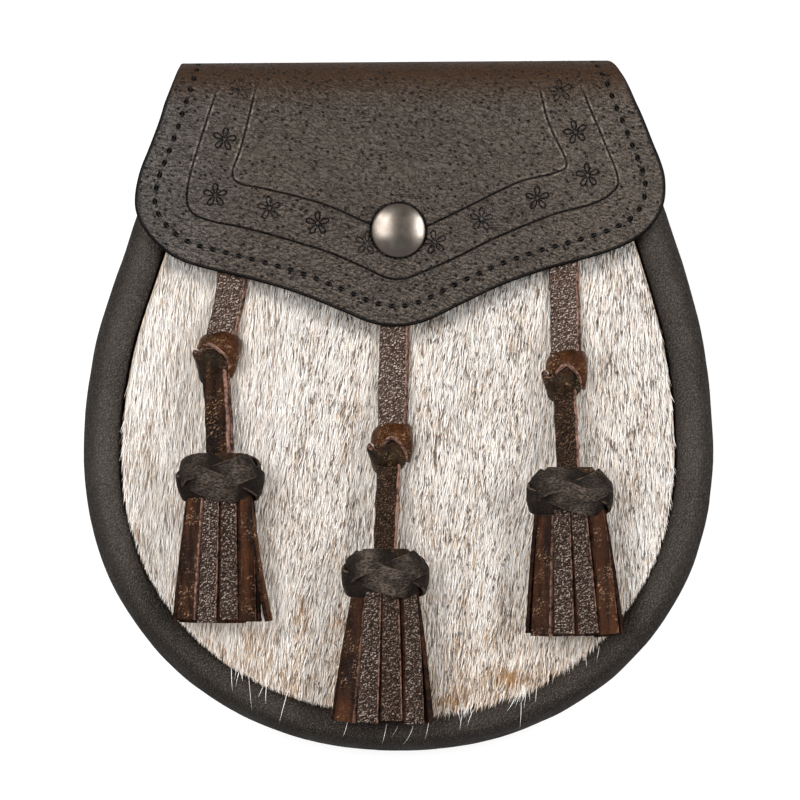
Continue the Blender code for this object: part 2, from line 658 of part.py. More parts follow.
def build_fringe(row, leather):
    """A neck with a skirt of cut strips that grow out of its lower face and lie down on the fur."""
    x, y = np.array(row["head"]) * MM
    end_y = row["fringe_y"] * MM
    top_z, end_z = knot_axis(row), float(crest_level(end_y)) + GAP + SKIRT_DEEP
    sides = (np.arange(STRIPS)[:, None] + 0.5 + STRIP_SHARE * np.array((-0.5, 0.5))) / STRIPS
    shares = sides.ravel()
    count = len(shares)
    neck, normals = ellipse_places(NECK_WIDE, NECK_DEEP, shares)
    points = []
    low = y - NECK_BELOW
    for level, places in ((y + NECK_ABOVE, neck), (low, neck), (low, neck - STRIP_THICK * normals)):
        points.extend((x + across, level, top_z + over) for across, over in places)
    faces = [tuple(range(count)), tuple(2 * count + point for point in reversed(range(count)))]
    for point in range(count):
        beside = (point + 1) % count
        faces.append((point, count + point, count + beside, beside))
        if point % 2:
            faces.append((count + point, 2 * count + point, 2 * count + beside, count + beside))
    for strip in range(STRIPS):
        first, second = 2 * strip, 2 * strip + 1
        last = [count + first, count + second, 2 * count + second, 2 * count + first]
        trim = 1.0 - STRIP_TRIM * (strip * 5 % 4) / 3
        stray = row["stray"] * MM if strip == 0 else 0.0
        for step in range(1, STRIP_STEPS + 1):
            share = step / STRIP_STEPS
            spread = share**SKIRT_SPREAD
            wide = NECK_WIDE + (row["skirt"] * MM - NECK_WIDE) * spread
            deep = NECK_DEEP + (SKIRT_DEEP - NECK_DEEP) * spread
            edge, out = ellipse_places(wide, deep, shares[[first, second]])
            edge = np.concatenate([edge, edge[::-1] - STRIP_THICK * out[::-1]])
            middle_x = x + row["lean"] * MM * share + stray * share**STRAY_SPREAD
            middle_z = top_z + (end_z - top_z) * spread
            level = low + (end_y - low) * share * trim
            new = [len(points) + corner for corner in range(4)]
            points.extend((middle_x + across, level, middle_z + over) for across, over in edge)
            for corner in range(4):
                beside = (corner + 1) % 4
                faces.append((last[corner], last[beside], new[beside], new[corner]))
            last = new
        faces.append(tuple(last))
    return add_object(f"fringe_{row['side']}", points, faces, leather)


def main():
    for old in list(bpy.data.objects):
        bpy.data.objects.remove(old)
    border = material("border_leather", (0.060, 0.051, 0.042), 0.55)
    tooled = material("flap_leather", (0.066, 0.055, 0.046), 0.5)
    fur = material("fur", (0.62, 0.55, 0.48), 0.8)
    brown = material("tassel_leather", (0.070, 0.038, 0.024), 0.4)
    black = material("knot_leather", (0.038, 0.030, 0.025), 0.5)
    metal = material("snap_metal", (0.62, 0.60, 0.57), 0.3, 1.0)
    build_back_panel(border)
    build_gusset(border)
    build_fur_front(fur)
    build_flap(tooled)
    build_snap(metal)
    build_belt_loop("left", -LOOP_X, border)
    build_belt_loop("right", LOOP_X, border)
    for row in TASSELS:
        build_strap(row, brown)
        build_woven_knot(row, black)
        build_fringe(row, brown)


main()
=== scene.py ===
"""Looks of a sporran pouch: rolled border, fur front, tooled flap, snap and three leather tassels.

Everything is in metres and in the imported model's frame. The pouch lies on its back: +X is to its right
and +Y to its top, seen from the front, and its front faces +Z.
"""

import logging
import math
from collections.abc import Sequence
from dataclasses import dataclass
from enum import Enum

import bpy
import numpy as np
from mathutils.geometry import delaunay_2d_cdt
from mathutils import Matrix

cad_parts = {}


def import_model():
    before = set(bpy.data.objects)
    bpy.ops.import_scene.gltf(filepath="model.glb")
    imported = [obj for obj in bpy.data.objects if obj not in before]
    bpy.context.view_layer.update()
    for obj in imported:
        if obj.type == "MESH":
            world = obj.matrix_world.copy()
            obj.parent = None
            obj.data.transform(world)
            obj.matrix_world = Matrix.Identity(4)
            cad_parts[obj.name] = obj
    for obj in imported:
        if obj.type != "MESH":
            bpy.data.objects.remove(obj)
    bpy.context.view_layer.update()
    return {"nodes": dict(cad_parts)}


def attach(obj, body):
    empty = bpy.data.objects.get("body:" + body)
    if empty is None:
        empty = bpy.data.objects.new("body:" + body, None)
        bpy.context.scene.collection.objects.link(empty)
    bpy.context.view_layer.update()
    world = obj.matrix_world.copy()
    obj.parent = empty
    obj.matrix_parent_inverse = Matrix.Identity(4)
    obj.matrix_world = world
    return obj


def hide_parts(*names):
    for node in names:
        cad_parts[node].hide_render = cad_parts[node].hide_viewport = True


MM = 0.001
GAP = 0.3 * MM  # clearance between two pieces that touch
TURN = 2 * math.pi
BODY = "root"
TINT = "tint"
HAIR_COLOUR = "hair_colour"

Array = np.ndarray
Number = float | Array
Pair = tuple[float, float]
Faces = tuple[Array, int | Array]
Colour = tuple[float, float, float]
Material = bpy.types.Material
NodeTree = bpy.types.NodeTree
Socket = bpy.types.NodeSocket
UP = np.array((0.0, 0.0, 1.0))
log = logging.getLogger("sporran")


class Slot(Enum):
    """The record's material slots."""

    BORDER = "border_leather"
    FLAP = "flap_leather"
    FUR = "fur"
    TASSEL = "tassel_leather"
    KNOT = "knot_leather"
    METAL = "snap_metal"


class Side(Enum):
    """Where a tassel hangs on the front."""

    LEFT = "left"
    CENTRE = "centre"
    RIGHT = "right"


# ---------------------------------------------------------------- geometry helpers


def mm(*values: float) -> tuple[float, ...]:
    """Lengths that are given in millimetres."""
    return tuple(value * MM for value in values)


def coords(*parts: Number) -> Array:
    """Points from their coordinates, each an array or one value for all."""
    return np.stack(np.broadcast_arrays(*parts), axis=-1)


def full_turn(count: int) -> Array:
    """Angles spread evenly over a full turn."""
    return np.linspace(0.0, TURN, count, endpoint=False)


def ramp(value: Number, low: float, high: float) -> Array:
    """An S-shaped step from 0 at low to 1 at high."""
    share = np.clip((np.asarray(value, float) - low) / (high - low), 0.0, 1.0)
    return share * share * (3.0 - 2.0 * share)


def bell(value: Number, wide: float = 1.0) -> Array:
    """A hump of height 1 at 0."""
    return np.exp(-((value / wide) ** 2))


def unit(vectors: Array) -> Array:
    """Vectors scaled to length 1."""
    return vectors / np.maximum(np.linalg.norm(vectors, axis=-1, keepdims=True), 1e-12)


def waves(x: Array, y: Array, length: float, seed: int) -> Array:
    """Soft, repeatable unevenness over a surface.

    Args:
        x: Places across.
        y: Places along.
        length: Rough size of one swell.
        seed: Picks the pattern.

    Returns:
        Values from about -1 to 1.
    """
    rng = np.random.default_rng(seed)
    total = np.zeros(np.broadcast(x, y).shape)
    for turn, stretch, phase in zip(*rng.uniform((0, 0.7, 0), (math.pi, 1.5, TURN), (6, 3)).T):
        total += np.sin((x * math.cos(turn) + y * math.sin(turn)) * TURN / (length * stretch) + phase)
    return total / 3.0


def lengths(line: Array) -> Array:
    """How far along a polyline each of its points lies."""
    return np.concatenate([[0.0], np.cumsum(np.linalg.norm(np.diff(line, axis=0), axis=1))])


def placed(line: Array, run: Array, at: Array) -> Array:
    """Places on a polyline at the lengths that are asked for, as lengths measures them."""
    return coords(*(np.interp(at, run, column) for column in line.T))


def even(line: Array, samples: int) -> Array:
    """That many places, spread evenly along a polyline."""
    run = lengths(line)
    return placed(line, run, np.linspace(0.0, run[-1], samples))


def spline(points: Sequence | Array, samples: int) -> Array:
    """Places spread evenly along a Catmull-Rom curve through points.

    Args:
        points: What it passes through, in order.
        samples: How many places.

    Returns:
        The places, one row each.
    """
    points = np.asarray(points, float)
    padded = np.concatenate([2 * points[:1] - points[1:2], points, 2 * points[-1:] - points[-2:-1]])
    t = np.linspace(0.0, 1.0, 12, endpoint=False)[:, None]
    dense = []
    for a, b, c, d in zip(padded, padded[1:], padded[2:], padded[3:]):
        cubic = (3 * b - a - 3 * c + d) * t**3
        dense.append(0.5 * (2 * b + (c - a) * t + (2 * a - 5 * b + 4 * c - d) * t**2 + cubic))
    return even(np.concatenate(dense + [points[-1:]]), samples)


def frames(path: Array, ups: Array, closed: bool = False) -> tuple[Array, Array]:
    """Directions across and out of a strip that follows a path.

    Args:
        path: Its centre points.
        ups: Roughly where its face looks, at each point or everywhere.
        closed: Whether the path joins its own start.

    Returns:
        Unit vectors to the strip's right, and out of its face.
    """
    after, before = np.roll(path, -1, axis=0), np.roll(path, 1, axis=0)
    along = unit(after - before if closed else np.gradient(path, axis=0))
    across = unit(np.cross(np.broadcast_to(ups, path.shape), along))
    return across, np.cross(along, across)


def gap_to_line(places: Array, line: Array, closed: bool = False) -> Array:
    """How far flat places lie from a polyline.

    Args:
        places: One row each.
        line: The polyline's points.
        closed: Whether its end joins its start.

    Returns:
        The shortest distance of each place.
    """
    line = np.concatenate([line, line[:1]]) if closed else line
    start, leg = line[:-1], np.diff(line, axis=0)
    square = np.maximum((leg**2).sum(axis=1), 1e-18)
    found = []
    for part in np.array_split(places, max(1, len(places) // 3000)):
        away = part[:, None, :] - start
        share = np.clip((away * leg).sum(axis=2) / square, 0.0, 1.0)
        found.append(np.sqrt(((away - share[..., None] * leg) ** 2).sum(axis=2)).min(axis=1))
    return np.concatenate(found)


def inside(places: Array, loop: Array) -> Array:
    """Whether each flat place lies inside a closed polyline, whose first point isn't repeated.

    Args:
        places: One row each.
        loop: The polyline's points.

    Returns:
        A truth value for each place.
    """
    found = np.zeros(len(places), bool)
    for (x0, y0), (x1, y1) in zip(loop, np.roll(loop, -1, axis=0)):
        if y0 != y1:
            spans = (y0 > places[:, 1]) != (y1 > places[:, 1])
            found ^= spans & (places[:, 0] < (x1 - x0) * (places[:, 1] - y0) / (y1 - y0) + x0)
    return found


class Skin:
    """The points and faces of one piece while it is being made."""

    def __init__(self) -> None:
        """Starts with nothing."""
        self.points: list[Array] = []
        self.tints: list[Array] = []
        self.faces: list[Faces] = []
        self.count = 0

    def add(self, points: Array, groups: Sequence[Faces], tint: Number = 0) -> None:
        """Adds one part.

        Args:
            points: Its corners, one row each.
            groups: Arrays of triangles or quads, each with the finish that it takes.
            tint: A value that the finish may read, for the part or for each corner.
        """
        self.points.append(points)
        self.tints.append(np.broadcast_to(np.asarray(tint, float), len(points)))
        for faces, finish in groups:
            self.faces.append((faces + self.count, np.broadcast_to(np.asarray(finish, int), len(faces))))
        self.count += len(points)

    def add_closed(self, points: Array, groups: Sequence[Faces], tint: Number = 0) -> None:
        """Adds a closed part with its faces turned outwards, as add does.

        Args:
            points: Its corners, one row each.
            groups: Arrays of triangles or quads, each with the finish that it takes.
            tint: A value that the finish may read, for the part or for each corner.
        """
        volume = 0.0
        for faces, _ in groups:
            corners = points[faces]
            for second in range(1, corners.shape[1] - 1):
                turned = np.cross(corners[:, second], corners[:, second + 1])
                volume += float((corners[:, 0] * turned).sum())
        if volume < 0.0:
            groups = [(faces[:, ::-1], finish) for faces, finish in groups]
        self.add(points, groups, tint)

    def add_sweep(
        self,
        rings: Array,
        finish: int | Array = 0,
        cap: int = 0,
        closed: bool = False,
        tint: Number = 0,
        ends: Array | None = None,
    ) -> None:
        """Adds a skin through rings of points.

        Args:
            rings: Rings x points x 3.
            finish: The finish of each side of a ring, or of them all.
            cap: The finish of the two ends.
            closed: Whether the last ring joins the first, and there are no ends.
            tint: A value for the part, or for each corner of each ring.
            ends: Middle points of the two ends, if they aren't the rings' own.
        """
        count, sides = rings.shape[:2]
        ring, side = np.meshgrid(np.arange(count if closed else count - 1), np.arange(sides), indexing="ij")
        here, there = ring * sides, (ring + 1) % count * sides
        beside = (side + 1) % sides
        quads = coords(here + side, here + beside, there + beside, there + side).reshape(-1, 4)
        groups = [(quads, np.broadcast_to(finish, ring.shape).ravel())]
        points = rings.reshape(-1, 3)
        tints = np.broadcast_to(np.asarray(tint, float), (count, sides)).ravel()
        if not closed:
            ends = rings[[0, -1]].mean(axis=1) if ends is None else ends
            first, second, last = np.arange(sides), beside[0], (count - 1) * sides
            groups.append((coords(second, first, len(points)), cap))
            groups.append((coords(last + first, last + second, len(points) + 1), cap))
            points = np.concatenate([points, ends])
            tints = np.concatenate([tints, tints[[0, -1]]])
        self.add_closed(points, groups, tints)

    def add_wall(self, outer: Array, inner: Array, finishes: tuple[int, int, int]) -> None:
        """Adds a sheet with two faces.

        Args:
            outer: Rows x columns x 3, its outer face.
            inner: Its inner face, with as many.
            finishes: Those of its outer face, its inner face and its cut edge.
        """
        grid = np.arange(outer[..., 0].size).reshape(outer.shape[:2])
        around = (grid[:-1, :-1], grid[:-1, 1:], grid[1:, 1:], grid[1:, :-1])
        quads = coords(*(corner.ravel() for corner in around))
        rim = np.concatenate([grid[0, :], grid[1:, -1], grid[-1, -2::-1], grid[-2:0:-1, 0]])
        beside = np.roll(rim, -1)
        edge = coords(beside, rim, grid.size + rim, grid.size + beside)
        points = np.concatenate([outer.reshape(-1, 3), inner.reshape(-1, 3)])
        groups = [(quads, finishes[0]), (quads[:, ::-1] + grid.size, finishes[1]), (edge, finishes[2])]
        self.add_closed(points, groups)

    def piece(
        self,
        name: str,
        finishes: Sequence[Material],
        replaced: Sequence[str] = (),
        sharp: float = 50.0,
        colours: Array | None = None,
    ) -> None:
        """Turns the parts into one piece of the pouch.

        Args:
            name: The piece's name.
            finishes: Its materials, in the order that the parts number them.
            replaced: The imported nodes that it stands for.
            sharp: From this angle on, in degrees, an edge isn't shaded smooth.
            colours: A colour for each corner, for hair.
        """
        totals = np.concatenate([np.full(len(faces), faces.shape[1]) for faces, _ in self.faces])
        loops = np.concatenate([faces.ravel() for faces, _ in self.faces])
        chosen = np.concatenate([finish for _, finish in self.faces])
        mesh = bpy.data.meshes.new(name)
        mesh.vertices.add(self.count)
        mesh.vertices.foreach_set("co", np.concatenate(self.points).astype(np.float32).ravel())
        mesh.loops.add(len(loops))
        mesh.loops.foreach_set("vertex_index", loops.astype(np.int32))
        mesh.polygons.add(len(totals))
        mesh.polygons.foreach_set("loop_start", (np.cumsum(totals) - totals).astype(np.int32))
        mesh.polygons.foreach_set("material_index", chosen.astype(np.int32))
        mesh.update(calc_edges=True)
        mesh.shade_smooth()
        if sharp < 180.0:
            mesh.set_sharp_from_angle(angle=math.radians(sharp))
        tint = mesh.attributes.new(TINT, "FLOAT", "POINT")
        tint.data.foreach_set("value", np.concatenate(self.tints).astype(np.float32))
        if colours is not None:
            dye_and_painted_light = mesh.color_attributes.new(HAIR_COLOUR, "FLOAT_COLOR", "POINT")
            dye_and_painted_light.data.foreach_set("color", coords(*colours.T, 1.0).astype(np.float32).ravel())
        for finish in finishes:
            mesh.materials.append(finish)
        made = bpy.data.objects.new(name, mesh)
        bpy.context.scene.collection.objects.link(made)
        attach(made, BODY)
        if replaced:
            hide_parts(*replaced)
        log.info("%s: %d triangles", name, int((totals - 2).sum()))


@dataclass(frozen=True)
class StripCut:
    """The section of a strip of leather: a grain face, two slanting cut edges and a flesh side.

    Finishes are numbered 0 for the face, 1 for the cut edges and 2 for the flesh side.
    """

    thick: float
    left: float  # how far the cut edge shows past the face on each side
    right: float
    crown: float = 0.1 * MM
    left_finish: int = 1
    right_finish: int = 1
    faces: tuple[float, ...] = (-0.96, -0.6, -0.2, 0.2, 0.6, 0.96)

    def lay(
        self,
        skin: Skin,
        path: Array,
        ups: Array,
        half: Number,
        tint: Number = 0.0,
        face: int = 0,
        cut_tint: float = 0.3,
        closed: bool = False,
    ) -> None:
        """Lays a strip along a path on its underside.

        Args:
            skin: What it is added to.
            path: The middle of its underside.
            ups: Where its face looks.
            half: Half its face's width, everywhere or at each point.
            tint: A value for its face's finish, everywhere or at each point.
            face: The finish of its face.
            cut_tint: A value for the finish of its cut edges.
            closed: Whether its end joins its start.
        """
        count = len(self.faces)
        shares = np.array([-1, -1, -1, *self.faces, 1, 1, 1, 0.4, -0.4])
        slant = np.array([1.0, 0.8, 0.25])
        past = np.concatenate([-self.left * slant, np.zeros(count), self.right * slant[::-1], [0, 0]])
        cut = self.thick * np.array([0.0, 0.38, 0.88])
        crowns = self.thick + self.crown * (1.0 - np.array(self.faces) ** 2)
        rise = np.concatenate([cut, crowns, cut[::-1], [0, 0]])[:, None]
        sides = [self.left_finish] * 3 + [face] * (count - 1) + [self.right_finish] * 3 + [2] * 3
        across, up = frames(path, ups, closed)
        half, tint = (np.broadcast_to(value, len(path))[:, None] for value in (half, tint))
        rings = path[:, None] + across[:, None] * (half * shares + past)[..., None] + up[:, None] * rise
        tints = np.full(rings.shape[:2], cut_tint)
        tints[:, 3 : 3 + count] = tint
        skin.add_sweep(rings, np.array(sides), cap=1, closed=closed, tint=tints)


@dataclass(frozen=True)
class Thread:
    """Sewing thread, laid as single short stitches that dip into the leather at both ends."""

    radius: float = 0.17 * MM
    dip: float = 0.6 * MM
    sides: int = 6
    share: float = 0.8  # how much of the way from hole to hole a stitch spans

    def stitch(self, skin: Skin, start: Array, end: Array, up: Array, finish: int = 0) -> None:
        """Adds one stitch.

        Args:
            skin: What it is added to.
            start: The hole that it comes out of.
            end: The hole that it goes into.
            up: Out of the leather.
            finish: Its finish.
        """
        shares = np.array([-0.02, 0.1, 0.3, 0.7, 0.9, 1.02])[:, None]
        sunk = self.dip * np.array([1.0, 0.1, 0.0, 0.0, 0.1, 1.0])[:, None]
        path = start + shares * (end - start) - sunk * up
        across, out = frames(path, up)
        turns = full_turn(self.sides)[:, None]
        bend = across[:, None] * np.cos(turns) + out[:, None] * np.sin(turns)
        skin.add_sweep(path[:, None] + self.radius * bend, finish, cap=finish)

    def seam(self, skin: Skin, line: Array, up: Array, pitch: float, finish: int = 0) -> None:
        """Adds a row of stitches.

        Args:
            skin: What they are added to.
            line: The row's points.
            up: Out of the leather.
            pitch: From one hole to the next.
            finish: Their finish.
        """
        run = lengths(line)
        count = max(int(round(run[-1] / pitch)), 1)
        for step in range(count):
            at = (step + 0.5 + np.array((-self.share, self.share)) / 2) * run[-1] / count
            self.stitch(skin, *placed(line, run, at), up, finish)


# ---------------------------------------------------------------- the pouch's form


@dataclass(frozen=True)
class PouchForm:
    """The outline and the levels that every piece is laid on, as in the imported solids."""

    half_width: float = 94.5 * MM
    widest_y: float = -13.8 * MM
    belly_drop: float = 89.7 * MM
    belly_power: float = 2.1
    side_radius: float = 144.0 * MM
    side_lean: float = math.radians(18.8)
    top_y: float = 103.5 * MM
    crest_low: float = 32.5 * MM
    crest_high: float = 26.5 * MM
    back_lift: float = 7.3 * MM
    back_rise: Pair = mm(-60.0, 24.0)
    back_thick: float = 2.0 * MM
    crest_inset: float = 5.5 * MM
    seam_inset: float = 11.5 * MM
    seam_depth: float = 5.0 * MM
    waist_share: float = 0.42
    fur_sink: float = 1.5 * MM
    fur_crown: float = 2.0 * MM
    fur_taper: float = 0.26
    fur_fade: Pair = mm(35.0, 95.0)
    flap_thick: float = 2.2 * MM
    flap_rest: float = 0.5 * MM
    flap_crown: float = 3.1 * MM
    flap_half: float = 78.0 * MM
    flap_fade: Pair = mm(58.0, 88.0)
    droop: float = 1.8 * MM
    droop_half: Pair = mm(70.0, 80.5)
    droop_y: float = 62.7 * MM
    droop_fade: Pair = mm(68.0, 90.0)
    fold_taper: float = 0.33
    bulge: float = 2.0 * MM  # how much fuller the right shoulder is than the left
    bulge_y: Pair = mm(-4.0, 50.0)
    bulge_x: Pair = mm(10.0, 72.0)

    def swollen(self, x: Array, y: Array) -> Array:
        """Places across after the right shoulder has bulged."""
        return x + self.bulge * ramp(y, *self.bulge_y) * ramp(x, *self.bulge_x)

    def crest(self, y: Number) -> Array:
        """Height of the border's crest."""
        bottom = self.widest_y - self.belly_drop
        return self.crest_low + (self.crest_high - self.crest_low) * ((y - bottom) / (self.top_y - bottom))

    def back(self, y: Number) -> Array:
        """Height of the back's outer face."""
        return self.back_lift * ramp(y, *self.back_rise)

    def fur(self, x: Number, y: Number) -> Array:
        """Height of the fur front's outer face.

        Args:
            x: Places across.
            y: Places along.

        Returns:
            A height for each place.
        """
        below = np.minimum(y - self.widest_y, 0.0) / (self.belly_drop - self.seam_inset)
        half = self.half_width - self.seam_inset - self.fur_taper * np.maximum(y - self.widest_y, 0.0)
        crown = np.maximum(1.0 - (x / half) ** 2 - below**2, 0.0) * (1.0 - ramp(y, *self.fur_fade))
        return self.crest(y) - self.fur_sink + self.fur_crown * crown

    def flap(self, x: Number, y: Number) -> Array:
        """Height of the flap's underside.

        Args:
            x: Places across.
            y: Places along.

        Returns:
            A height for each place.
        """
        crown = np.maximum(1.0 - (x / self.flap_half) ** 2, 0.0) * (1.0 - ramp(y, *self.flap_fade))
        beside = np.abs(x) + self.fold_taper * (y - self.droop_y)
        droop = ramp(beside, *self.droop_half) * (1.0 - ramp(y, *self.droop_fade))
        return self.crest(y) + self.flap_rest + self.flap_crown * crown - self.droop * droop

    def rim(self, inset: Array, y: Array) -> Array:
        """Height of the rolled border's outer face, so far inside the outline, up to the seam.

        Args:
            inset: How far inside the outline places lie.
            y: Places along.

        Returns:
            A height for each place.
        """
        crest, low = self.crest(y), self.back(y) + self.back_thick + GAP
        rise = np.sqrt(np.clip(1.0 - (1.0 - np.clip(inset / self.crest_inset, 0.0, 1.0)) ** 2, 0.0, 1.0))
        outside = low + (crest - low) * (self.waist_share + (1.0 - self.waist_share) * rise)
        share = np.clip((inset - self.crest_inset) / (self.seam_inset - self.crest_inset), 0.0, 1.0)
        inner = crest - self.seam_depth * (1.0 - np.sqrt(1.0 - share**2))
        return np.where(inset < self.crest_inset, outside, inner)

    def outline(self, inset: float, top: float, belly: int = 60, sides: int = 16) -> tuple[Array, Array]:
        """The right half of the outline, from its lowest point up.

        Args:
            inset: How far inside the real outline.
            top: The height on the front where it ends.
            belly: Steps round the belly.
            sides: Steps up the arc, and up the straight side.

        Returns:
            Its points and their outward normals.
        """
        turns = np.linspace(math.pi / 2, 0.0, belly + 1)
        across = np.maximum(np.cos(turns), 0.0) ** (2 / self.belly_power)
        down = np.sin(turns) ** (2 / self.belly_power)
        points = [coords(self.half_width * across, self.widest_y - self.belly_drop * down)]
        power = self.belly_power - 1
        normals = [unit(coords(across**power / self.half_width, -(down**power) / self.belly_drop))]
        turns = np.linspace(0.0, self.side_lean, sides + 1)[1:]
        across = self.half_width - self.side_radius * (1 - np.cos(turns))
        points.append(coords(across, self.widest_y + self.side_radius * np.sin(turns)))
        normals.append(coords(np.cos(turns), np.sin(turns)))
        x, y = points[-1][-1]
        level = np.linspace(y, top + inset * math.sin(self.side_lean), sides + 1)[1:]
        points.append(coords(x - (level - y) * math.tan(self.side_lean), level))
        normals.append(np.repeat(normals[-1][-1:], sides, axis=0))
        normals = np.concatenate(normals)
        return np.concatenate(points) - inset * normals, normals

    def whole_outline(self, inset: float, top: float) -> tuple[Array, Array]:
        """The whole outline from its upper left end round to its upper right end.

        Args:
            inset: How far inside the real outline.
            top: The height on the front where it ends.

        Returns:
            Its points and their outward normals.
        """
        half, normals = self.outline(inset, top)
        mirrored = np.array((-1.0, 1.0))
        points = np.concatenate([half[::-1] * mirrored, half[1:]])
        points[:, 0] = self.swollen(*points.T)
        return points, np.concatenate([normals[::-1] * mirrored, normals[1:]])

    def grid(self, inset: float, top: float, shares: Array) -> tuple[Array, Array]:
        """A grid over the outline's inside.

        Args:
            inset: How far inside the real outline it ends.
            top: The height on the front where it ends.
            shares: Its columns, from -1 at the left edge to 1 at the right one.

        Returns:
            Its x and y, a row for each level.
        """
        half = self.outline(inset, top)[0][1:]
        x, y = np.broadcast_arrays(half[:, :1] * shares, half[:, 1:])
        return self.swollen(x, y), y


class EdgeField:
    """How far inside the pouch's outline a place lies, read from a grid."""

    def __init__(self, form: PouchForm, pitch: float = 1.0 * MM) -> None:
        """Measures the form's outline on a grid.

        Args:
            form: The pouch's form.
            pitch: From one grid line to the next.
        """
        line, _ = form.whole_outline(0.0, form.top_y + 8.0 * MM)
        self.pitch = pitch
        self.low = line.min(axis=0) - pitch
        size = np.ceil((line.max(axis=0) - self.low) / pitch).astype(int) + 2
        x, y = np.meshgrid(np.arange(size[0]), np.arange(size[1]), indexing="ij")
        places = self.low + pitch * coords(x.ravel(), y.ravel())
        gap = gap_to_line(places, line) * np.where(inside(places, line), 1.0, -1.0)
        self.gap = gap.reshape(*size)

    def inset(self, x: Array, y: Array) -> Array:
        """The distance of places inwards from the outline, below 0 outside.

        Args:
            x: Places across.
            y: Places along.

        Returns:
            A distance for each place.
        """
        column = np.clip((x - self.low[0]) / self.pitch, 0, self.gap.shape[0] - 1.001)
        row = np.clip((y - self.low[1]) / self.pitch, 0, self.gap.shape[1] - 1.001)
        i, j = column.astype(int), row.astype(int)
        u, v = column - i, row - j
        near = self.gap[i, j] * (1 - v) + self.gap[i, j + 1] * v
        far = self.gap[i + 1, j] * (1 - v) + self.gap[i + 1, j + 1] * v
        return near * (1 - u) + far * u


# ---------------------------------------------------------------- finishes


def paint(red: int, green: int, blue: int) -> Colour:
    """A colour that is written as it shows on a screen, as the shaders want it."""
    shares = np.array((red, green, blue)) / 255.0
    return tuple(np.where(shares <= 0.04045, shares / 12.92, ((shares + 0.055) / 1.055) ** 2.4).tolist())


class Wiring:
    """Adds nodes to one node tree and joins them."""

    def __init__(self, tree: NodeTree) -> None:
        """Takes the tree that nodes are added to."""
        self.tree = tree

    def add(self, kind: str, inputs: dict, **settings: object) -> bpy.types.Node:
        """Adds one node.

        Args:
            kind: Its type, without its first words.
            inputs: Values or sockets for its inputs, by name or number.
            settings: Its own settings.

        Returns:
            The node.
        """
        node = self.tree.nodes.new("ShaderNode" + kind)
        for name, value in settings.items():
            setattr(node, name, value)
        for key, value in inputs.items():
            self.feed(node.inputs[key], value)
        return node

    def feed(self, socket: Socket, value: object) -> None:
        """Joins a socket to another one, or sets its value.

        Args:
            socket: An input.
            value: The output to join it to, or its new value.
        """
        if isinstance(value, Socket):
            self.tree.links.new(value, socket)
        elif socket.type == "RGBA" and len(value) == 3:
            socket.default_value = (*value, 1.0)
        else:
            socket.default_value = value

    def solve(self, operation: str, first: object, second: object = 0.0) -> Socket:
        """The result of one Math node."""
        return self.add("Math", {0: first, 1: second}, operation=operation).outputs[0]

    def times(self, first: object, second: object) -> Socket:
        """A product."""
        return self.solve("MULTIPLY", first, second)

    def plus(self, first: object, second: object) -> Socket:
        """A sum."""
        return self.solve("ADD", first, second)

    def minus(self, first: object, second: object) -> Socket:
        """A difference."""
        return self.solve("SUBTRACT", first, second)

    def blend(self, share: object, first: object, second: object) -> Socket:
        """Two colours mixed by a share."""
        return self.add("Mix", {0: share, 6: first, 7: second}, data_type="RGBA").outputs[2]

    def remap(self, value: object, low: float, high: float, start: float = 0.0, end: float = 1.0) -> Socket:
        """A value read on another scale, and held inside it."""
        return self.add("MapRange", {0: value, 1: low, 2: high, 3: start, 4: end}).outputs[0]

    def noise(self, scale: object, detail: float = 3.0, vector: Socket | None = None) -> Socket:
        """Cloudy noise, as a number."""
        inputs = {"Vector": vector or self.place(), "Scale": scale, "Detail": detail}
        return self.add("TexNoise", inputs).outputs[0]

    def clouds(self, scale: float, start: float = 0.0, end: float = 1.0, detail: float = 3.0) -> Socket:
        """Noise with its middle part spread from start to end."""
        return self.remap(self.noise(scale, detail), 0.35, 0.65, start, end)

    def place(self) -> Socket:
        """The place on the piece, in metres."""
        return self.add("TexCoord", {}).outputs["Object"]

    def stretched(self, x: float, y: float, angle: float = 0.0) -> Socket:
        """The place on the piece, scaled along and across a direction in radians from the right."""
        plain = self.add("Mapping", {"Vector": self.place(), "Rotation": (0.0, 0.0, -angle)}).outputs[0]
        return self.add("Mapping", {"Vector": plain, "Scale": (x, y, 1.0)}).outputs[0]

    def slopes(self, scale: object, shift: Sequence[float], vector: Socket | None = None) -> Socket:
        """How cloudy relief rises towards a light at one side, from about -0.2 to 0.2.

        Args:
            scale: How fine the relief is.
            shift: The way towards the light, in metres.
            vector: The place to read, if it isn't the plain one.

        Returns:
            The difference.
        """
        here = vector or self.place()
        there = self.add("VectorMath", {0: here, 1: shift}, operation="ADD").outputs[0]
        return self.minus(self.noise(scale, 2.0, here), self.noise(scale, 2.0, there))


class Group(Wiring):
    """A node group under construction."""

    def __init__(self, name: str, **inputs: object) -> None:
        """Starts a group with its inputs' default numbers and colours.

        Args:
            name: Its name.
            inputs: Each input by its name.
        """
        super().__init__(bpy.data.node_groups.new(name, "ShaderNodeTree"))
        for label, default in inputs.items():
            plain = isinstance(default, float)
            kind = "NodeSocketFloat" if plain else "NodeSocketColor"
            made = self.tree.interface.new_socket(label, in_out="INPUT", socket_type=kind)
            made.default_value = default if plain else (*default, 1.0)
        self.given = {socket.name: socket for socket in self.tree.nodes.new("NodeGroupInput").outputs}

    def close(self, **results: Socket) -> NodeTree:
        """Gives the group its outputs, each a number but for the one named Colour.

        Args:
            results: What each output gives, by its name.

        Returns:
            The finished group.
        """
        for label in results:
            kind = "NodeSocketColor" if label == "Colour" else "NodeSocketFloat"
            self.tree.interface.new_socket(label, in_out="OUTPUT", socket_type=kind)
        leave = self.tree.nodes.new("NodeGroupOutput")
        for label, socket in results.items():
            self.feed(leave.inputs[label], socket)
        return self.tree


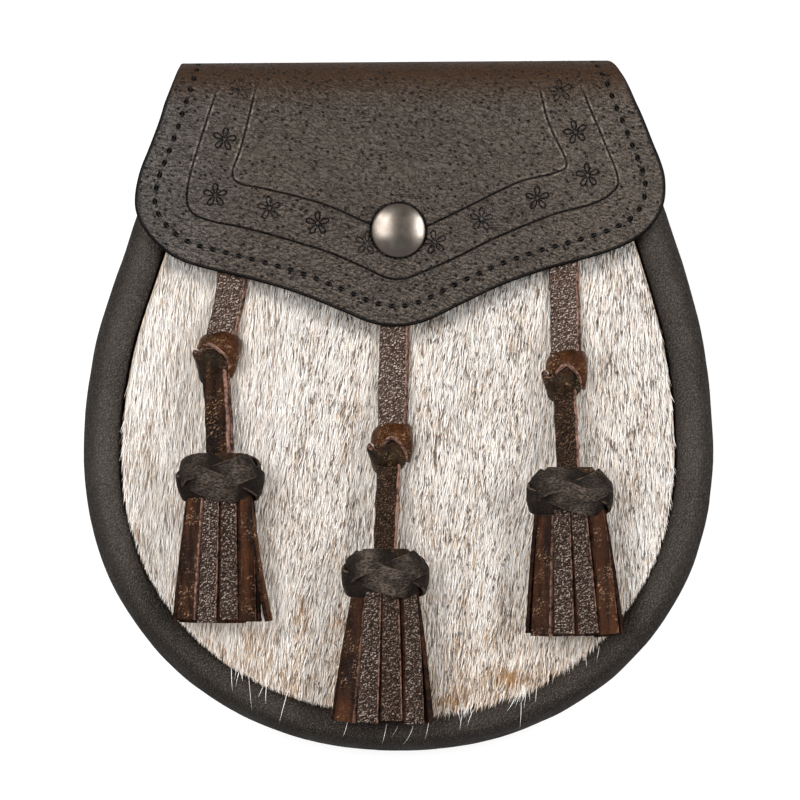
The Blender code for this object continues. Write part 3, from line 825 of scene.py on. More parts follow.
class Effects:
    """The shader node groups that several finishes use."""

    def __init__(self) -> None:
        """Builds each group once."""
        self.grain = self.make_grain()
        self.pores = self.make_pores()
        self.mottle = self.make_mottle()
        self.pebbles = self.make_pebbles()
        self.fibres = self.make_fibres()

    def make_grain(self) -> NodeTree:
        """The fine net of creases that leather has.

        Returns:
            The group.
        """
        group = Group("leather_grain", Scale=900.0, Unevenness=0.4)
        scale = group.given["Scale"]
        swirl = group.add("TexNoise", {"Vector": group.place(), "Scale": 500.0, "Detail": 2.0})
        shift = group.add("VectorMath", {0: swirl.outputs["Color"], "Scale": 0.0007}, operation="SCALE")
        moved = group.add("VectorMath", {0: group.place(), 1: shift.outputs[0]}, operation="ADD").outputs[0]
        cells = group.add("TexVoronoi", {"Vector": moved, "Scale": scale}, feature="DISTANCE_TO_EDGE")
        gap = cells.outputs["Distance"]
        uneven = group.times(group.noise(group.times(scale, 1.7), 2.0), group.given["Unevenness"])
        creases = group.remap(gap, 0.0, 0.12, 1.0, 0.0)
        return group.close(Height=group.plus(group.remap(gap, 0.0, 0.28), uneven), Creases=creases)

    def make_pores(self) -> NodeTree:
        """Small dark pores that gather in patches, as on pigskin.

        Returns:
            The group.
        """
        group = Group("pores", Scale=420.0, Size=0.3, Amount=0.5)
        scale = group.given["Scale"]
        inputs = {"Vector": group.stretched(0.8, 1.1, -0.35), "Scale": scale, "Randomness": 0.85}
        cells = group.add("TexVoronoi", inputs)
        dots = group.remap(group.solve("DIVIDE", cells.outputs["Distance"], group.given["Size"]), 1.0, 0.7)
        bare = group.times(group.minus(1.0, group.given["Amount"]), 0.9)
        patches = group.minus(group.noise(group.times(scale, 0.33), 1.0), bare)
        return group.close(Mask=group.times(dots, group.remap(group.times(patches, 8.0), 0.0, 1.0)))

    def make_mottle(self) -> NodeTree:
        """Two colours in soft clouds with a little fine speckle.

        Returns:
            The group.
        """
        group = Group("mottle", Base=(0.1, 0.1, 0.1), Patch=(0.2, 0.2, 0.2), Scale=60.0)
        scale = group.given["Scale"]
        speckle = group.times(group.noise(group.times(scale, 22.0), 2.0), 0.35)
        share = group.remap(group.plus(group.times(group.noise(scale, 4.0), 0.65), speckle), 0.36, 0.64)
        return group.close(Colour=group.blend(share, group.given["Base"], group.given["Patch"]))

    def make_pebbles(self) -> NodeTree:
        """Crumpled relief of embossed leather, and the glints on its broken ridges.

        Returns:
            The group.
        """
        group = Group("pebbles", Scale=900.0)
        scale = group.given["Scale"]
        away = group.solve("ABSOLUTE", group.minus(group.noise(scale, 2.0), 0.5))
        swells = group.noise(group.times(scale, 0.85), 2.0)
        height = group.plus(group.remap(away, 0.13, 0.0, 0.0, 0.6), group.remap(swells, 0.3, 0.7, 0.0, 0.4))
        slope = group.slopes(group.times(scale, 1.35), (0.00015, -0.0002, 0.0001))
        glints = group.times(group.remap(slope, 0.04, 0.1), group.remap(swells, 0.44, 0.56, 0.08, 1.0))
        return group.close(Height=height, Glints=glints)

    def make_fibres(self) -> NodeTree:
        """The matted fibres of a cut edge or of a flesh side.

        Returns:
            The group.
        """
        group = Group("fibres", Scale=900.0)
        fine = group.noise(group.given["Scale"], 4.0)
        broad = group.times(group.noise(group.times(group.given["Scale"], 0.25), 3.0), 0.4)
        shade = group.remap(group.plus(group.times(fine, 0.6), broad), 0.4, 0.6)
        return group.close(Height=fine, Shade=shade)


class Coat(Wiring):
    """A material under construction, with its Principled shader at hand."""

    def __init__(self, name: str, **sockets: object) -> None:
        """Starts a material with constants for the shader's sockets, whose names have _ for a space.

        Args:
            name: The material's name.
            sockets: The shader's constants.
        """
        self.material = bpy.data.materials.new(name)
        self.material.use_nodes = True
        super().__init__(self.material.node_tree)
        self.shader = self.tree.nodes["Principled BSDF"]
        for key, value in sockets.items():
            self.feed(self.shader.inputs[key.replace("_", " ").title().replace("Ior", "IOR")], value)

    def use(self, group: NodeTree, **inputs: object) -> list[Socket]:
        """The outputs of a shared effect, placed with its own values.

        Args:
            group: The effect.
            inputs: Values or sockets for its inputs, by name.

        Returns:
            Its outputs, in order.
        """
        node = self.add("Group", {})
        node.node_tree = group
        for key, value in inputs.items():
            self.feed(node.inputs[key], value)
        return list(node.outputs)

    def tint(self) -> Socket:
        """The value that the piece's own maker left on its corners."""
        return self.add("Attribute", {}, attribute_name=TINT).outputs["Fac"]

    def finish(self, colour: object, roughness: object, *layers: tuple[Socket, float]) -> Material:
        """Feeds the shader.

        Args:
            colour: The base colour.
            roughness: The roughness.
            layers: Heights of the relief, each with the depth that a height of 1 stands for.

        Returns:
            The material.
        """
        self.feed(self.shader.inputs["Base Color"], colour)
        self.feed(self.shader.inputs["Roughness"], roughness)
        below = {}
        for height, depth in layers:
            bump = self.add("Bump", {"Height": height, "Distance": depth, "Strength": 1.0, **below})
            below = {"Normal": bump.outputs[0]}
        if below:
            self.feed(self.shader.inputs["Normal"], below["Normal"])
        return self.material


@dataclass(frozen=True)
class PlainLeather:
    """Soft, finely grained leather, as on the border and the back, with light painted on one side of its
    relief and shade painted in its creases.
    """

    name: str
    base: Colour
    patch: Colour
    grain: float = 1000.0
    # The colour that the tint leads to: on the border, a browner tone with painted shade.
    edge: Colour = paint(29, 18, 8)
    # A painted highlight on the side of the relief that faces the light.
    light: Colour = paint(106, 101, 97)
    # Painted shade in the creases.
    crease_shade: Colour = (0.01, 0.008, 0.006)

    def make(self, effects: Effects) -> Material:
        """Builds the material.

        Args:
            effects: The shared node groups.

        Returns:
            The material.
        """
        coat = Coat(self.name, specular_ior_level=0.13)
        height, creases = coat.use(effects.grain, Scale=self.grain)
        (colour,) = coat.use(effects.mottle, Base=self.base, Patch=self.patch, Scale=45.0)
        colour = coat.blend(coat.tint(), colour, self.edge)
        # Painted highlight where the relief rises towards the light.
        lit = coat.remap(coat.slopes(1800.0, (0.0002, -0.0001, 0.0001)), 0.0, 0.14, 0.0, 0.5)
        # Painted shade in the creases, with dark specks of the grain.
        specks = coat.remap(coat.noise(2100.0, 1.0), 0.38, 0.6, 0.6, 0.0)
        shade = coat.solve("MAXIMUM", coat.times(creases, 0.35), specks)
        colour = coat.blend(shade, coat.blend(lit, colour, self.light), self.crease_shade)
        folds, swells = coat.noise(620.0, 2.0), coat.noise(250.0, 3.0)
        relief = ((height, 0.16 * MM), (folds, 0.45 * MM), (swells, 0.3 * MM))
        return coat.finish(colour, coat.clouds(70.0, 0.5, 0.66), *relief)


@dataclass(frozen=True)
class TooledLeather:
    """The flap's leather: pores in patches, fine creases, and grooves dyed darker. Light and shade are
    painted on its relief and creases, and a sheen towards its sides.

    Its tint is 1 in a groove and more in a hole, whose near black is painted shade, and below 0 on a groove's
    lip, which takes a painted highlight.
    """

    base: Colour = paint(72, 63, 55)
    patch: Colour = paint(61, 53, 46)
    # Painted sheen: greyer towards the left side.
    cool: Colour = paint(76, 74, 72)
    brown: Colour = paint(54, 32, 11)
    # The colour of pores, grooves and dark specks, and of painted shade on the relief, in the creases and
    # round the cap.
    pore_and_shade: Colour = paint(10, 7, 6)
    # Pale specks, painted highlights on the relief, and a painted sheen towards the right side.
    pale: Colour = paint(108, 97, 87)
    # A painted highlight on a groove's lip.
    lip: Colour = paint(150, 140, 128)
    # Painted shade in the stitch holes.
    hole: Colour = (0.001, 0.001, 0.001)
    fold: Pair = mm(89.0, 100.0)
    slant: float = -0.35  # the direction of the creases

    def make(self, effects: Effects) -> Material:
        """Builds the material.

        Args:
            effects: The shared node groups.

        Returns:
            The material.
        """
        coat = Coat("tooled_leather", specular_ior_level=0.24)
        height, _ = coat.use(effects.grain, Scale=800.0, Unevenness=0.9)
        (pores,) = coat.use(effects.pores, Scale=560.0, Size=0.27, Amount=0.66)
        (colour,) = coat.use(effects.mottle, Base=self.base, Patch=self.patch, Scale=55.0)
        x, y, _ = coat.add("SeparateXYZ", {0: coat.place()}).outputs
        # Painted sheen towards both sides: greyer on the left, paler on the right.
        colour = coat.blend(coat.remap(x, -0.045, -0.07, 0.0, 0.6), colour, self.cool)
        colour = coat.blend(coat.remap(x, 0.03, 0.065, 0.0, 0.22), colour, self.pale)
        # How strongly the specks and the painted light and shade on the relief show: more towards the bottom,
        # and more at both sides, where the light grazes.
        worn = coat.remap(y, 0.072, 0.034, 0.38, 1.0)
        worn = coat.plus(worn, coat.remap(x, -0.04, -0.065, 0.0, 0.3))
        worn = coat.plus(worn, coat.remap(x, 0.045, 0.07, 0.0, 0.3))
        specks = coat.noise(2500.0, 1.0)
        slope = coat.slopes(1150.0, (0.0002, -0.0003, 0.0), coat.stretched(0.7, 1.2, self.slant))
        # Pale and dark specks of the grain, and a painted highlight and painted shade on the slopes of the
        # relief.
        for share, start, end, much, tone in (
            (specks, 0.55, 0.74, 0.5, self.pale),
            (slope, 0.02, 0.14, 0.55, self.pale),
            (specks, 0.46, 0.3, 0.45, self.pore_and_shade),
            (slope, -0.02, -0.14, 0.6, self.pore_and_shade),
        ):
            colour = coat.blend(coat.times(coat.remap(share, start, end, 0.0, much), worn), colour, tone)
        folds = coat.noise(640.0, 2.0, coat.stretched(0.6, 1.25, self.slant))
        away = coat.solve("ABSOLUTE", coat.minus(folds, 0.5))
        # Painted shade along the creases.
        colour = coat.blend(coat.remap(away, 0.03, 0.0, 0.0, 0.14), colour, self.pore_and_shade)
        colour = coat.blend(coat.remap(y, *self.fold), colour, self.brown)
        colour = coat.blend(coat.times(pores, 0.95), colour, self.pore_and_shade)
        # By the tint: a painted highlight on the grooves' lips, the grooves' dark with the painted shadow
        # round the cap, and painted shade in the holes.
        for start, end, tone in ((-0.04, -0.5, self.lip), (0.08, 0.55, self.pore_and_shade), (1.0, 1.5, self.hole)):
            colour = coat.blend(coat.remap(coat.tint(), start, end), colour, tone)
        dents = coat.minus(coat.remap(away, 0.0, 0.05), pores)
        relief = ((height, 0.14 * MM), (dents, 0.3 * MM), (folds, 0.4 * MM))
        return coat.finish(colour, coat.clouds(90.0, 0.36, 0.5), *relief)


@dataclass(frozen=True)
class PebbledLeather:
    """Embossed, waxed leather of straps and fringes. Its tint runs from dull to full of glints, which are
    painted highlights; its hollows take painted shade, and its tops a lighter tone of wear and painted light.
    """

    # Painted shade in the hollows.
    dark: Colour = paint(9, 5, 3)
    brown: Colour = paint(40, 24, 14)
    # The tops' colour: wear, and painted light.
    worn: Colour = paint(80, 60, 49)
    # The painted glints' colour, dim where the tint is low and bright where it is high.
    dim: Colour = paint(140, 108, 80)
    glint: Colour = paint(208, 195, 186)

    def make(self, effects: Effects) -> Material:
        """Builds the material.

        Args:
            effects: The shared node groups.

        Returns:
            The material.
        """
        coat = Coat("pebbled_leather", specular_ior_level=0.1)
        height, glints = coat.use(effects.pebbles, Scale=1380.0)
        tint = coat.tint()
        # Painted shade darkens the hollows; the tops take a lighter tone of wear and painted light.
        colour = coat.blend(coat.remap(height, 0.15, 0.75), self.dark, self.brown)
        colour = coat.blend(coat.times(coat.remap(height, 0.0, 0.6), tint), colour, self.worn)
        # Painted highlights: the glints.
        shine = coat.times(glints, coat.remap(tint, 0.0, 0.6, 0.35, 0.82))
        colour = coat.blend(shine, colour, coat.blend(coat.remap(tint, 0.1, 0.5), self.dim, self.glint))
        relief = ((height, 0.4 * MM), (coat.noise(300.0, 2.0), 0.4 * MM))
        return coat.finish(colour, coat.clouds(240.0, 0.2, 0.34), *relief)


@dataclass(frozen=True)
class SmoothLeather:
    """Waxed brown leather, as on the sides of the fringes and round the overhand knots."""

    name: str
    dark: Colour
    light: Colour
    glint: Colour
    gloss: Pair = (0.3, 0.45)
    shine: float = 0.1
    crumple: float = 0.4 * MM

    def make(self, effects: Effects) -> Material:
        """Builds the material. Its tint makes it lighter.

        Args:
            effects: The shared node groups.

        Returns:
            The material.
        """
        coat = Coat(self.name, specular_ior_level=self.shine)
        height, glints = coat.use(effects.pebbles, Scale=1150.0)
        streaks = coat.remap(coat.noise(130.0, 4.0, coat.stretched(3.0, 0.4)), 0.35, 0.65)
        share = coat.remap(coat.plus(streaks, coat.tint()), 0.0, 1.6)
        # Painted shade: the lower parts of the relief are darker.
        colour = coat.blend(coat.times(share, coat.remap(height, 0.0, 0.7, 0.4, 1.0)), self.dark, self.light)
        # Painted highlights: glints in patches.
        glints = coat.times(glints, coat.remap(coat.noise(190.0), 0.48, 0.6, 0.0, 0.75))
        relief = ((height, 0.22 * MM), (coat.noise(300.0, 2.0), self.crumple))
        return coat.finish(coat.blend(glints, colour, self.glint), coat.clouds(200.0, *self.gloss), *relief)


@dataclass(frozen=True)
class FibrousLeather:
    """A cut edge, or a flesh side: matted fibres without gloss. Its tint runs from the dark to the pale."""

    name: str
    dark: Colour
    pale: Colour

    def make(self, effects: Effects) -> Material:
        """Builds the material.

        Args:
            effects: The shared node groups.

        Returns:
            The material.
        """
        coat = Coat(self.name, specular_ior_level=0.08)
        height, shade = coat.use(effects.fibres, Scale=900.0)
        share = coat.plus(coat.minus(coat.times(shade, 0.9), 0.2), coat.times(coat.tint(), 0.5))
        colour = coat.blend(share, self.dark, self.pale)
        return coat.finish(colour, coat.remap(shade, 0.0, 1.0, 0.7, 0.88), (height, 0.22 * MM))


@dataclass(frozen=True)
class WovenLeather:
    """Thin black kip of the woven knots. Its tint runs from the dips and the sides turned away, in painted
    shade, to the greyish tops, lighter from rubbing and painted light.
    """

    black: Colour = paint(17, 11, 7)
    # The tops' colour: rubbed leather, and painted light.
    rubbed_and_lit: Colour = paint(97, 85, 76)

    def make(self, effects: Effects) -> Material:
        """Builds the material.

        Args:
            effects: The shared node groups.

        Returns:
            The material.
        """
        coat = Coat("woven_leather", specular_ior_level=0.09)
        height, creases = coat.use(effects.grain, Scale=1500.0, Unevenness=0.9)
        lines = coat.noise(1700.0, 2.0, coat.stretched(0.6, 1.2))
        # Where the lace is lighter: rubbed patches and streaks, and by the tint painted light on its tops,
        # with painted shade in its dips and at the sides.
        rubs_and_painted_light = coat.remap(coat.noise(260.0, 5.0), 0.38, 0.62, 0.35, 1.0)
        rubs_and_painted_light = coat.times(rubs_and_painted_light, coat.remap(lines, 0.38, 0.6, 0.2, 1.1))
        rubs_and_painted_light = coat.times(rubs_and_painted_light, coat.remap(coat.tint(), 0.25, 0.95, 0.12, 1.0))
        colour = coat.blend(rubs_and_painted_light, self.black, self.rubbed_and_lit)
        # Painted shade in the creases.
        colour = coat.blend(coat.times(creases, 0.3), colour, (0, 0, 0))
        return coat.finish(colour, coat.clouds(200.0, 0.42, 0.6), (height, 0.1 * MM), (lines, 0.3 * MM))


@dataclass(frozen=True)
class Nickel:
    """Satin nickel plate with faint rubbing."""

    bright: Colour = paint(131, 124, 117)
    dull: Colour = paint(110, 100, 91)

    def make(self, effects: Effects) -> Material:
        """Builds the material.

        Args:
            effects: The shared node groups.

        Returns:
            The material.
        """
        coat = Coat("satin_nickel", metallic=1.0)
        (colour,) = coat.use(effects.mottle, Base=self.bright, Patch=self.dull, Scale=220.0)
        return coat.finish(colour, coat.clouds(500.0, 0.28, 0.36, 4.0), (coat.noise(2500.0, 2.0), 0.004 * MM))


@dataclass(frozen=True)
class Hair:
    """Hair that takes its colour from its own corners."""

    def make(self) -> Material:
        """Builds the material.

        Returns:
            The material.
        """
        coat = Coat("hair", specular_ior_level=0.3, sheen_weight=0.15)
        dye_and_painted_light = coat.add("Attribute", {}, attribute_name=HAIR_COLOUR).outputs["Color"]
        return coat.finish(dye_and_painted_light, coat.clouds(600.0, 0.42, 0.6))


@dataclass(frozen=True)
class HairedHide:
    """The hide under the hair: shadowed roots with streaks along them."""

    dark: Colour = paint(160, 138, 116)
    pale: Colour = paint(226, 214, 200)

    def make(self) -> Material:
        """Builds the material.

        Returns:
            The material.
        """
        coat = Coat("haired_hide", specular_ior_level=0.2)
        streaks = coat.noise(1300.0, 3.0, coat.stretched(1.0, 0.12))
        colour = coat.blend(coat.remap(streaks, 0.38, 0.62), self.dark, self.pale)
        return coat.finish(colour, coat.remap(streaks, 0.3, 0.7, 0.7, 0.9), (streaks, 0.5 * MM))


@dataclass(frozen=True)
class WaxedThread:
    """Black waxed sewing thread."""

    black: Colour = paint(12, 10, 9)
    worn: Colour = paint(30, 26, 23)

    def make(self) -> Material:
        """Builds the material.

        Returns:
            The material.
        """
        coat = Coat("waxed_thread", specular_ior_level=0.35)
        twist = coat.noise(2600.0, 2.0)
        colour = coat.blend(coat.remap(twist, 0.35, 0.65), self.black, self.worn)
        return coat.finish(colour, coat.remap(twist, 0.3, 0.7, 0.45, 0.65), (twist, 0.1 * MM))


class Workshop:
    """All finishes of the pouch, each built once."""

    def __init__(self) -> None:
        """Builds the shared effects and every material."""
        effects = Effects()
        self.border = PlainLeather("border_leather_soft", paint(73, 67, 61), paint(54, 48, 43)).make(effects)
        self.back = PlainLeather("back_leather", paint(62, 54, 46), paint(46, 39, 32), 760.0).make(effects)
        self.tooled = TooledLeather().make(effects)
        self.pebbled = PebbledLeather().make(effects)
        side = (paint(28, 13, 6), paint(98, 56, 28), paint(160, 126, 100))
        self.side = SmoothLeather("waxed_side_leather", *side).make(effects)
        wrap = (paint(19, 8, 3), paint(80, 44, 19), paint(166, 132, 98))
        self.wrap = SmoothLeather("wrap_leather", *wrap, (0.2, 0.32), 0.09, 0.8 * MM).make(effects)
        lump = (paint(14, 8, 4), paint(70, 47, 26), paint(128, 104, 78))
        self.lump = SmoothLeather("lump_leather", *lump, (0.2, 0.3), 0.1, 0.9 * MM).make(effects)
        # Dark inner leather: the neck, and painted shade on the fringe's tucked strips and tucked cut edges.
        self.inner = FibrousLeather("inner_leather", paint(20, 10, 6), paint(66, 40, 26)).make(effects)
        self.cut = FibrousLeather("cut_edge", paint(40, 24, 21), paint(156, 120, 105)).make(effects)
        self.black_cut = FibrousLeather("dyed_cut_edge", paint(8, 6, 5), paint(24, 19, 16)).make(effects)
        self.kip_cut = FibrousLeather("kip_cut_edge", paint(26, 20, 16), paint(88, 75, 65)).make(effects)
        self.flesh = FibrousLeather("flesh_side", paint(30, 22, 17), paint(60, 46, 36)).make(effects)
        self.woven = WovenLeather().make(effects)
        self.nickel = Nickel().make(effects)
        self.hair = Hair().make()
        self.hide = HairedHide().make()
        self.thread = WaxedThread().make()


# ---------------------------------------------------------------- border and back


@dataclass
class Border:
    """The rolled border: a gusset in a C section that runs round the pouch."""

    form: PouchForm
    wall: float = 1.8 * MM
    top: float = 90.0 * MM
    back_end: float = 14.0 * MM
    back_bend: float = 8.5 * MM
    front_end: float = 16.5 * MM
    quarter: int = 9
    swell: float = 0.12 * MM

    def section(self) -> Array:
        """The outer face as rows of inset, share of the height, and drop.

        Returns:
            The rows, from its edge at the back to its edge at the front.
        """
        form = self.form
        turns = np.linspace(0.0, math.pi / 2, self.quarter + 1)[1:]
        rise, run = 1 - np.cos(turns), np.sin(turns)
        lower = coords(self.back_bend * (1 - run), form.waist_share * rise, 0.0)
        upper = coords(form.crest_inset * rise, form.waist_share + (1 - form.waist_share) * run, 0.0)
        reach = form.seam_inset - form.crest_inset
        front = coords(form.crest_inset + reach * run, 1.0, form.seam_depth * rise)
        start = [(self.back_end, 0.0, 0.0), (self.back_bend, 0.0, 0.0)]
        return np.concatenate([start, lower, upper, front, [(self.front_end, 1.0, form.seam_depth)]])

    def build(self, shop: Workshop) -> None:
        """Makes the border.

        Args:
            shop: The finishes.
        """
        form, (inset, share, drop) = self.form, self.section().T
        path, normals = form.whole_outline(0.0, self.top)
        rings = []
        for place, normal in zip(path, normals):
            y = place[1] - inset * normal[1]
            low = form.back(y) + form.back_thick + GAP
            flat = coords(inset, low + share * (form.crest(y) - low) - drop)
            legs = unit(np.gradient(flat, axis=0))
            inner = flat + self.wall * coords(legs[:, 1], -legs[:, 0])
            loop = np.concatenate([flat, inner[::-1]])
            rings.append(np.concatenate([place - loop[:, :1] * normal, loop[:, 1:]], axis=1))
        rings = np.array(rings)
        x, y, z = rings[..., 0], rings[..., 1], rings[..., 2]
        uneven = waves(x + 2 * z, y, 24.0 * MM, 5) + 0.35 * waves(x, y + 2 * z, 9.0 * MM, 6)
        rings[..., :2] += normals[:, None] * (self.swell * uneven)[..., None]
        # The roll's outer flank and its flank by the seam take a browner, darker tone: the leather's own
        # brown with painted shade, which leaves the crest lighter.
        brown = np.where(loop[:, 0] < self.back_bend, 1.0 - ramp(loop[:, 0], *mm(0.3, 5.2)), 0.0)
        brown = np.maximum(brown, 0.3 * ramp(loop[:, 0], *mm(8.6, 10.6)))
        # Painted shade: the border darkens towards the bottom.
        foot = 0.5 * ramp(-path[:, 1:], *mm(30.0, 85.0))
        skin = Skin()
        skin.add_sweep(rings, 0, cap=1, tint=np.minimum(brown + foot, 1.0))
        skin.piece("rolled_border", [shop.border, shop.black_cut], ["border_gusset"])


@dataclass
class Back:
    """The back panel with its seam, and the two belt loops that are sewn to it."""

    form: PouchForm
    thread: Thread
    inset: float = 4.0 * MM
    top: float = 92.0 * MM
    seam_inset: float = 7.5 * MM
    seam_top: float = 84.0 * MM
    pitch: float = 4.0 * MM
    loop_pitch: float = 3.4 * MM
    loop_x: float = 36.0 * MM
    loop_half: float = 13.0 * MM
    loop_edge: float = 0.35 * MM  # how far its cut edges show
    loop_wall: float = 2.0 * MM
    loop_low: float = 27.0 * MM
    loop_high: float = 79.0 * MM
    loop_foot: float = 7.0 * MM
    loop_slope: float = 5.0 * MM

    def build(self, shop: Workshop) -> None:
        """Makes the panel and both loops.

        Args:
            shop: The finishes.
        """
        finishes = [shop.back, shop.black_cut, shop.flesh, shop.thread]
        self.build_panel(finishes)
        for name, x in (("left", -self.loop_x), ("right", self.loop_x)):
            self.build_loop(name, x, finishes)

    def build_panel(self, finishes: Sequence[Material]) -> None:
        """Makes the panel, a sheet that lifts over the loops, with a row of stitches round it.

        Args:
            finishes: Its materials.
        """
        form, shares = self.form, np.linspace(-1.0, 1.0, 41)
        x, y = form.grid(self.inset, self.top, shares)
        soft = 0.12 * MM * (1.0 + waves(x, y, 38.0 * MM, 9)) * (1.0 - np.abs(shares) ** 6)
        outer = coords(x, y, form.back(y) + np.maximum(soft, 0.0))
        skin = Skin()
        skin.add_wall(outer, outer + form.back_thick * UP, (0, 2, 1))
        line, _ = form.whole_outline(self.seam_inset, self.seam_top)
        self.thread.seam(skin, coords(*line.T, form.back(line[:, 1])), -UP, self.pitch, 3)
        skin.piece("back_leather_panel", finishes, ["back_panel"])

    def build_loop(self, name: str, x: float, finishes: Sequence[Material]) -> None:
        """Makes one belt loop.

        Args:
            name: Its side.
            x: The middle of its strap.
            finishes: Its materials.
        """
        foot, wall = self.form.back_lift - GAP, self.loop_wall
        low, high = self.loop_low, self.loop_high
        bend = self.loop_foot + self.loop_slope
        half = [(low, foot), (low + self.loop_foot, foot), (low + bend, wall)]
        line = even(np.array(half + [(low + high - y, z) for y, z in half[::-1]]), 80)
        for _ in range(6):
            line[1:-1] = 0.25 * line[:-2] + 0.5 * line[1:-1] + 0.25 * line[2:]
        skin = Skin()
        cut = StripCut(wall, self.loop_edge, self.loop_edge, 0.0)
        cut.lay(skin, coords(x, *line.T), -UP, self.loop_half - self.loop_edge)
        reach = self.loop_half - 3.0 * MM
        rows = (low + 2.2 * MM, low + self.loop_foot - 1.6 * MM)
        for y in (*rows, *(low + high - row for row in rows[::-1])):
            ends = np.array([(x - reach, y, foot - wall), (x + reach, y, foot - wall)])
            self.thread.seam(skin, ends, -UP, self.loop_pitch, 3)
        skin.piece(f"belt_loop_strap_{name}", finishes, [f"belt_loop_{name}"])


# ---------------------------------------------------------------- flap and snap


@dataclass
class Flap:
    """The tooled flap: one cut of leather that lies on the front, folds over the top and is sewn behind.

    Its pattern is flat. x runs across, and v is y on the lay and the length of leather past the fold's start.
    """

    form: PouchForm
    thread: Thread
    left_taper: float = 0.33
    right_taper: float = 0.37
    tail_half: float = 62.0 * MM
    tail: float = 9.0 * MM
    skew: float = 0.034
    skew_y: float = 47.9 * MM
    edge_round: float = 0.8 * MM
    edge_show: float = 0.5 * MM  # how far the cut edge shows past the grain face
    under_round: float = 0.35 * MM
    tilt: float = 0.007  # how the fold slants against the pouch, and how far it sags
    sag: float = 0.35 * MM
    seam_inset: float = 5.6 * MM
    seam_end: float = 128.0 * MM
    pitch: float = 4.0 * MM
    hole: Pair = mm(0.92, 0.66)  # half length along the seam, half width
    hole_depth: float = 0.95 * MM
    line_width: float = 0.26 * MM
    line_depth: float = 0.45 * MM
    line_steps: tuple[float, ...] = mm(-1.2, -0.75, -0.48, -0.22, 0.0, 0.22, 0.48, 0.75, 1.2)
    stamp_width: float = 0.2 * MM
    stamp_depth: float = 0.42 * MM
    petals: int = 5
    snap: Pair = mm(0.0, 52.5)
    cap_radius: float = 8.1 * MM
    cap_depth: float = 0.35 * MM  # how far the cap presses the leather in
    # Half width and v of the cut edge from the fold to the tip on each side, in millimetres.
    left_edge: tuple = (
        (69.6, 91.3), (71.2, 86.1), (72.9, 81.6), (74.7, 77.1), (76.6, 72.6), (77.9, 68.1), (78.5, 63.6),
        (78.1, 60.0), (76.5, 56.4), (73.9, 52.9), (70.8, 49.9), (66.8, 47.1), (62.0, 44.9), (52.0, 41.9),
        (42.0, 39.1), (30.0, 35.1), (18.0, 29.9), (8.0, 25.5),
    )
    right_edge: tuple = (
        (70.4, 91.3), (72.9, 85.5), (75.8, 77.8), (77.8, 72.7), (79.2, 67.8), (79.5, 63.0), (79.0, 58.8),
        (77.5, 54.9), (74.8, 51.1), (70.4, 47.6), (63.0, 44.5), (52.0, 41.6), (42.0, 39.1), (30.0, 35.2),
        (18.0, 29.9), (8.0, 25.5),
    )
    tip: float = 24.2
    # The two tooled lines from the left of the fold to its right, as x and v in millimetres.
    lines: tuple = (
        (
            (-45.0, 126.0), (-53.4, 98.6), (-59.5, 79.1), (-63.0, 66.0), (-62.6, 58.9), (-57.4, 55.7),
            (-46.1, 53.3), (-33.5, 49.9), (-21.2, 46.1), (-11.3, 41.9), (-3.5, 38.4), (1.7, 38.1),
            (8.0, 40.4), (17.4, 44.5), (29.0, 50.3), (46.1, 57.2), (57.5, 60.3), (63.6, 63.6),
            (65.6, 68.4), (60.5, 81.6), (54.5, 96.6), (46.0, 126.0),
        ),
        (
            (-34.5, 126.0), (-41.0, 102.8), (-46.7, 79.1), (-49.7, 70.0), (-47.6, 66.6), (-42.0, 65.4),
            (-31.7, 63.0), (-20.6, 59.7), (-9.0, 54.6), (0.0, 51.2), (8.9, 54.0), (22.1, 60.3), (31.1, 64.8),
            (37.5, 67.5), (47.2, 69.9), (50.2, 73.0), (44.9, 84.9), (41.4, 99.2), (35.5, 126.0),
        ),
    )
    # Each stamped flower: x, v, turn in degrees, and how deep it went in.
    flowers: tuple = (
        (-47.3, 95.8, 84, 0.5), (-52.1, 80.1, 80, 1.0), (-54.8, 63.0, 90, 1.0), (-38.6, 59.1, 94, 0.9),
        (-24.2, 54.6, 90, 1.0), (-9.5, 48.6, 84, 0.7), (10.8, 48.9, 99, 0.85), (24.8, 55.8, 88, 0.75),
        (41.6, 62.1, 92, 1.0), (56.6, 69.0, 96, 1.0), (53.0, 81.9, 104, 1.0), (48.5, 94.5, 98, 0.7),
    )

    def __post_init__(self) -> None:
        """Works out the fold from the levels that the flap joins, then its edge, lines and sewing holes."""
        form = self.form
        tail = form.back_lift - GAP
        top = float(form.crest(form.top_y)) + form.flap_rest
        self.fold_y = form.top_y - form.flap_thick - 0.5 * (top - tail)
        self.radius = 0.5 * (float(form.flap(0.0, self.fold_y)) - tail)
        self.axis_z = tail + self.radius
        self.reach = self.radius + form.flap_thick
        self.end = self.fold_y + math.pi * self.reach + self.tail
        self.tooled = [spline(np.array(line) * MM, 460) for line in self.lines]
        edge = self.open_edge()
        edge = even(edge, int(lengths(edge)[-1] / MM))
        self.edge = np.concatenate([edge, even(edge[[-1, 0]], 60)[1:-1]])
        legs = unit(np.roll(self.edge, -1, axis=0) - np.roll(self.edge, 1, axis=0))
        self.outwards = coords(legs[:, 1], -legs[:, 0])
        row = edge - self.outwards[: len(edge)] * self.seam_inset
        row = row[row[:, 1] < self.seam_end]
        self.holes = even(row, int(round(lengths(row)[-1] / self.pitch)) + 1)
        self.seam_legs = unit(np.gradient(self.holes, axis=0))

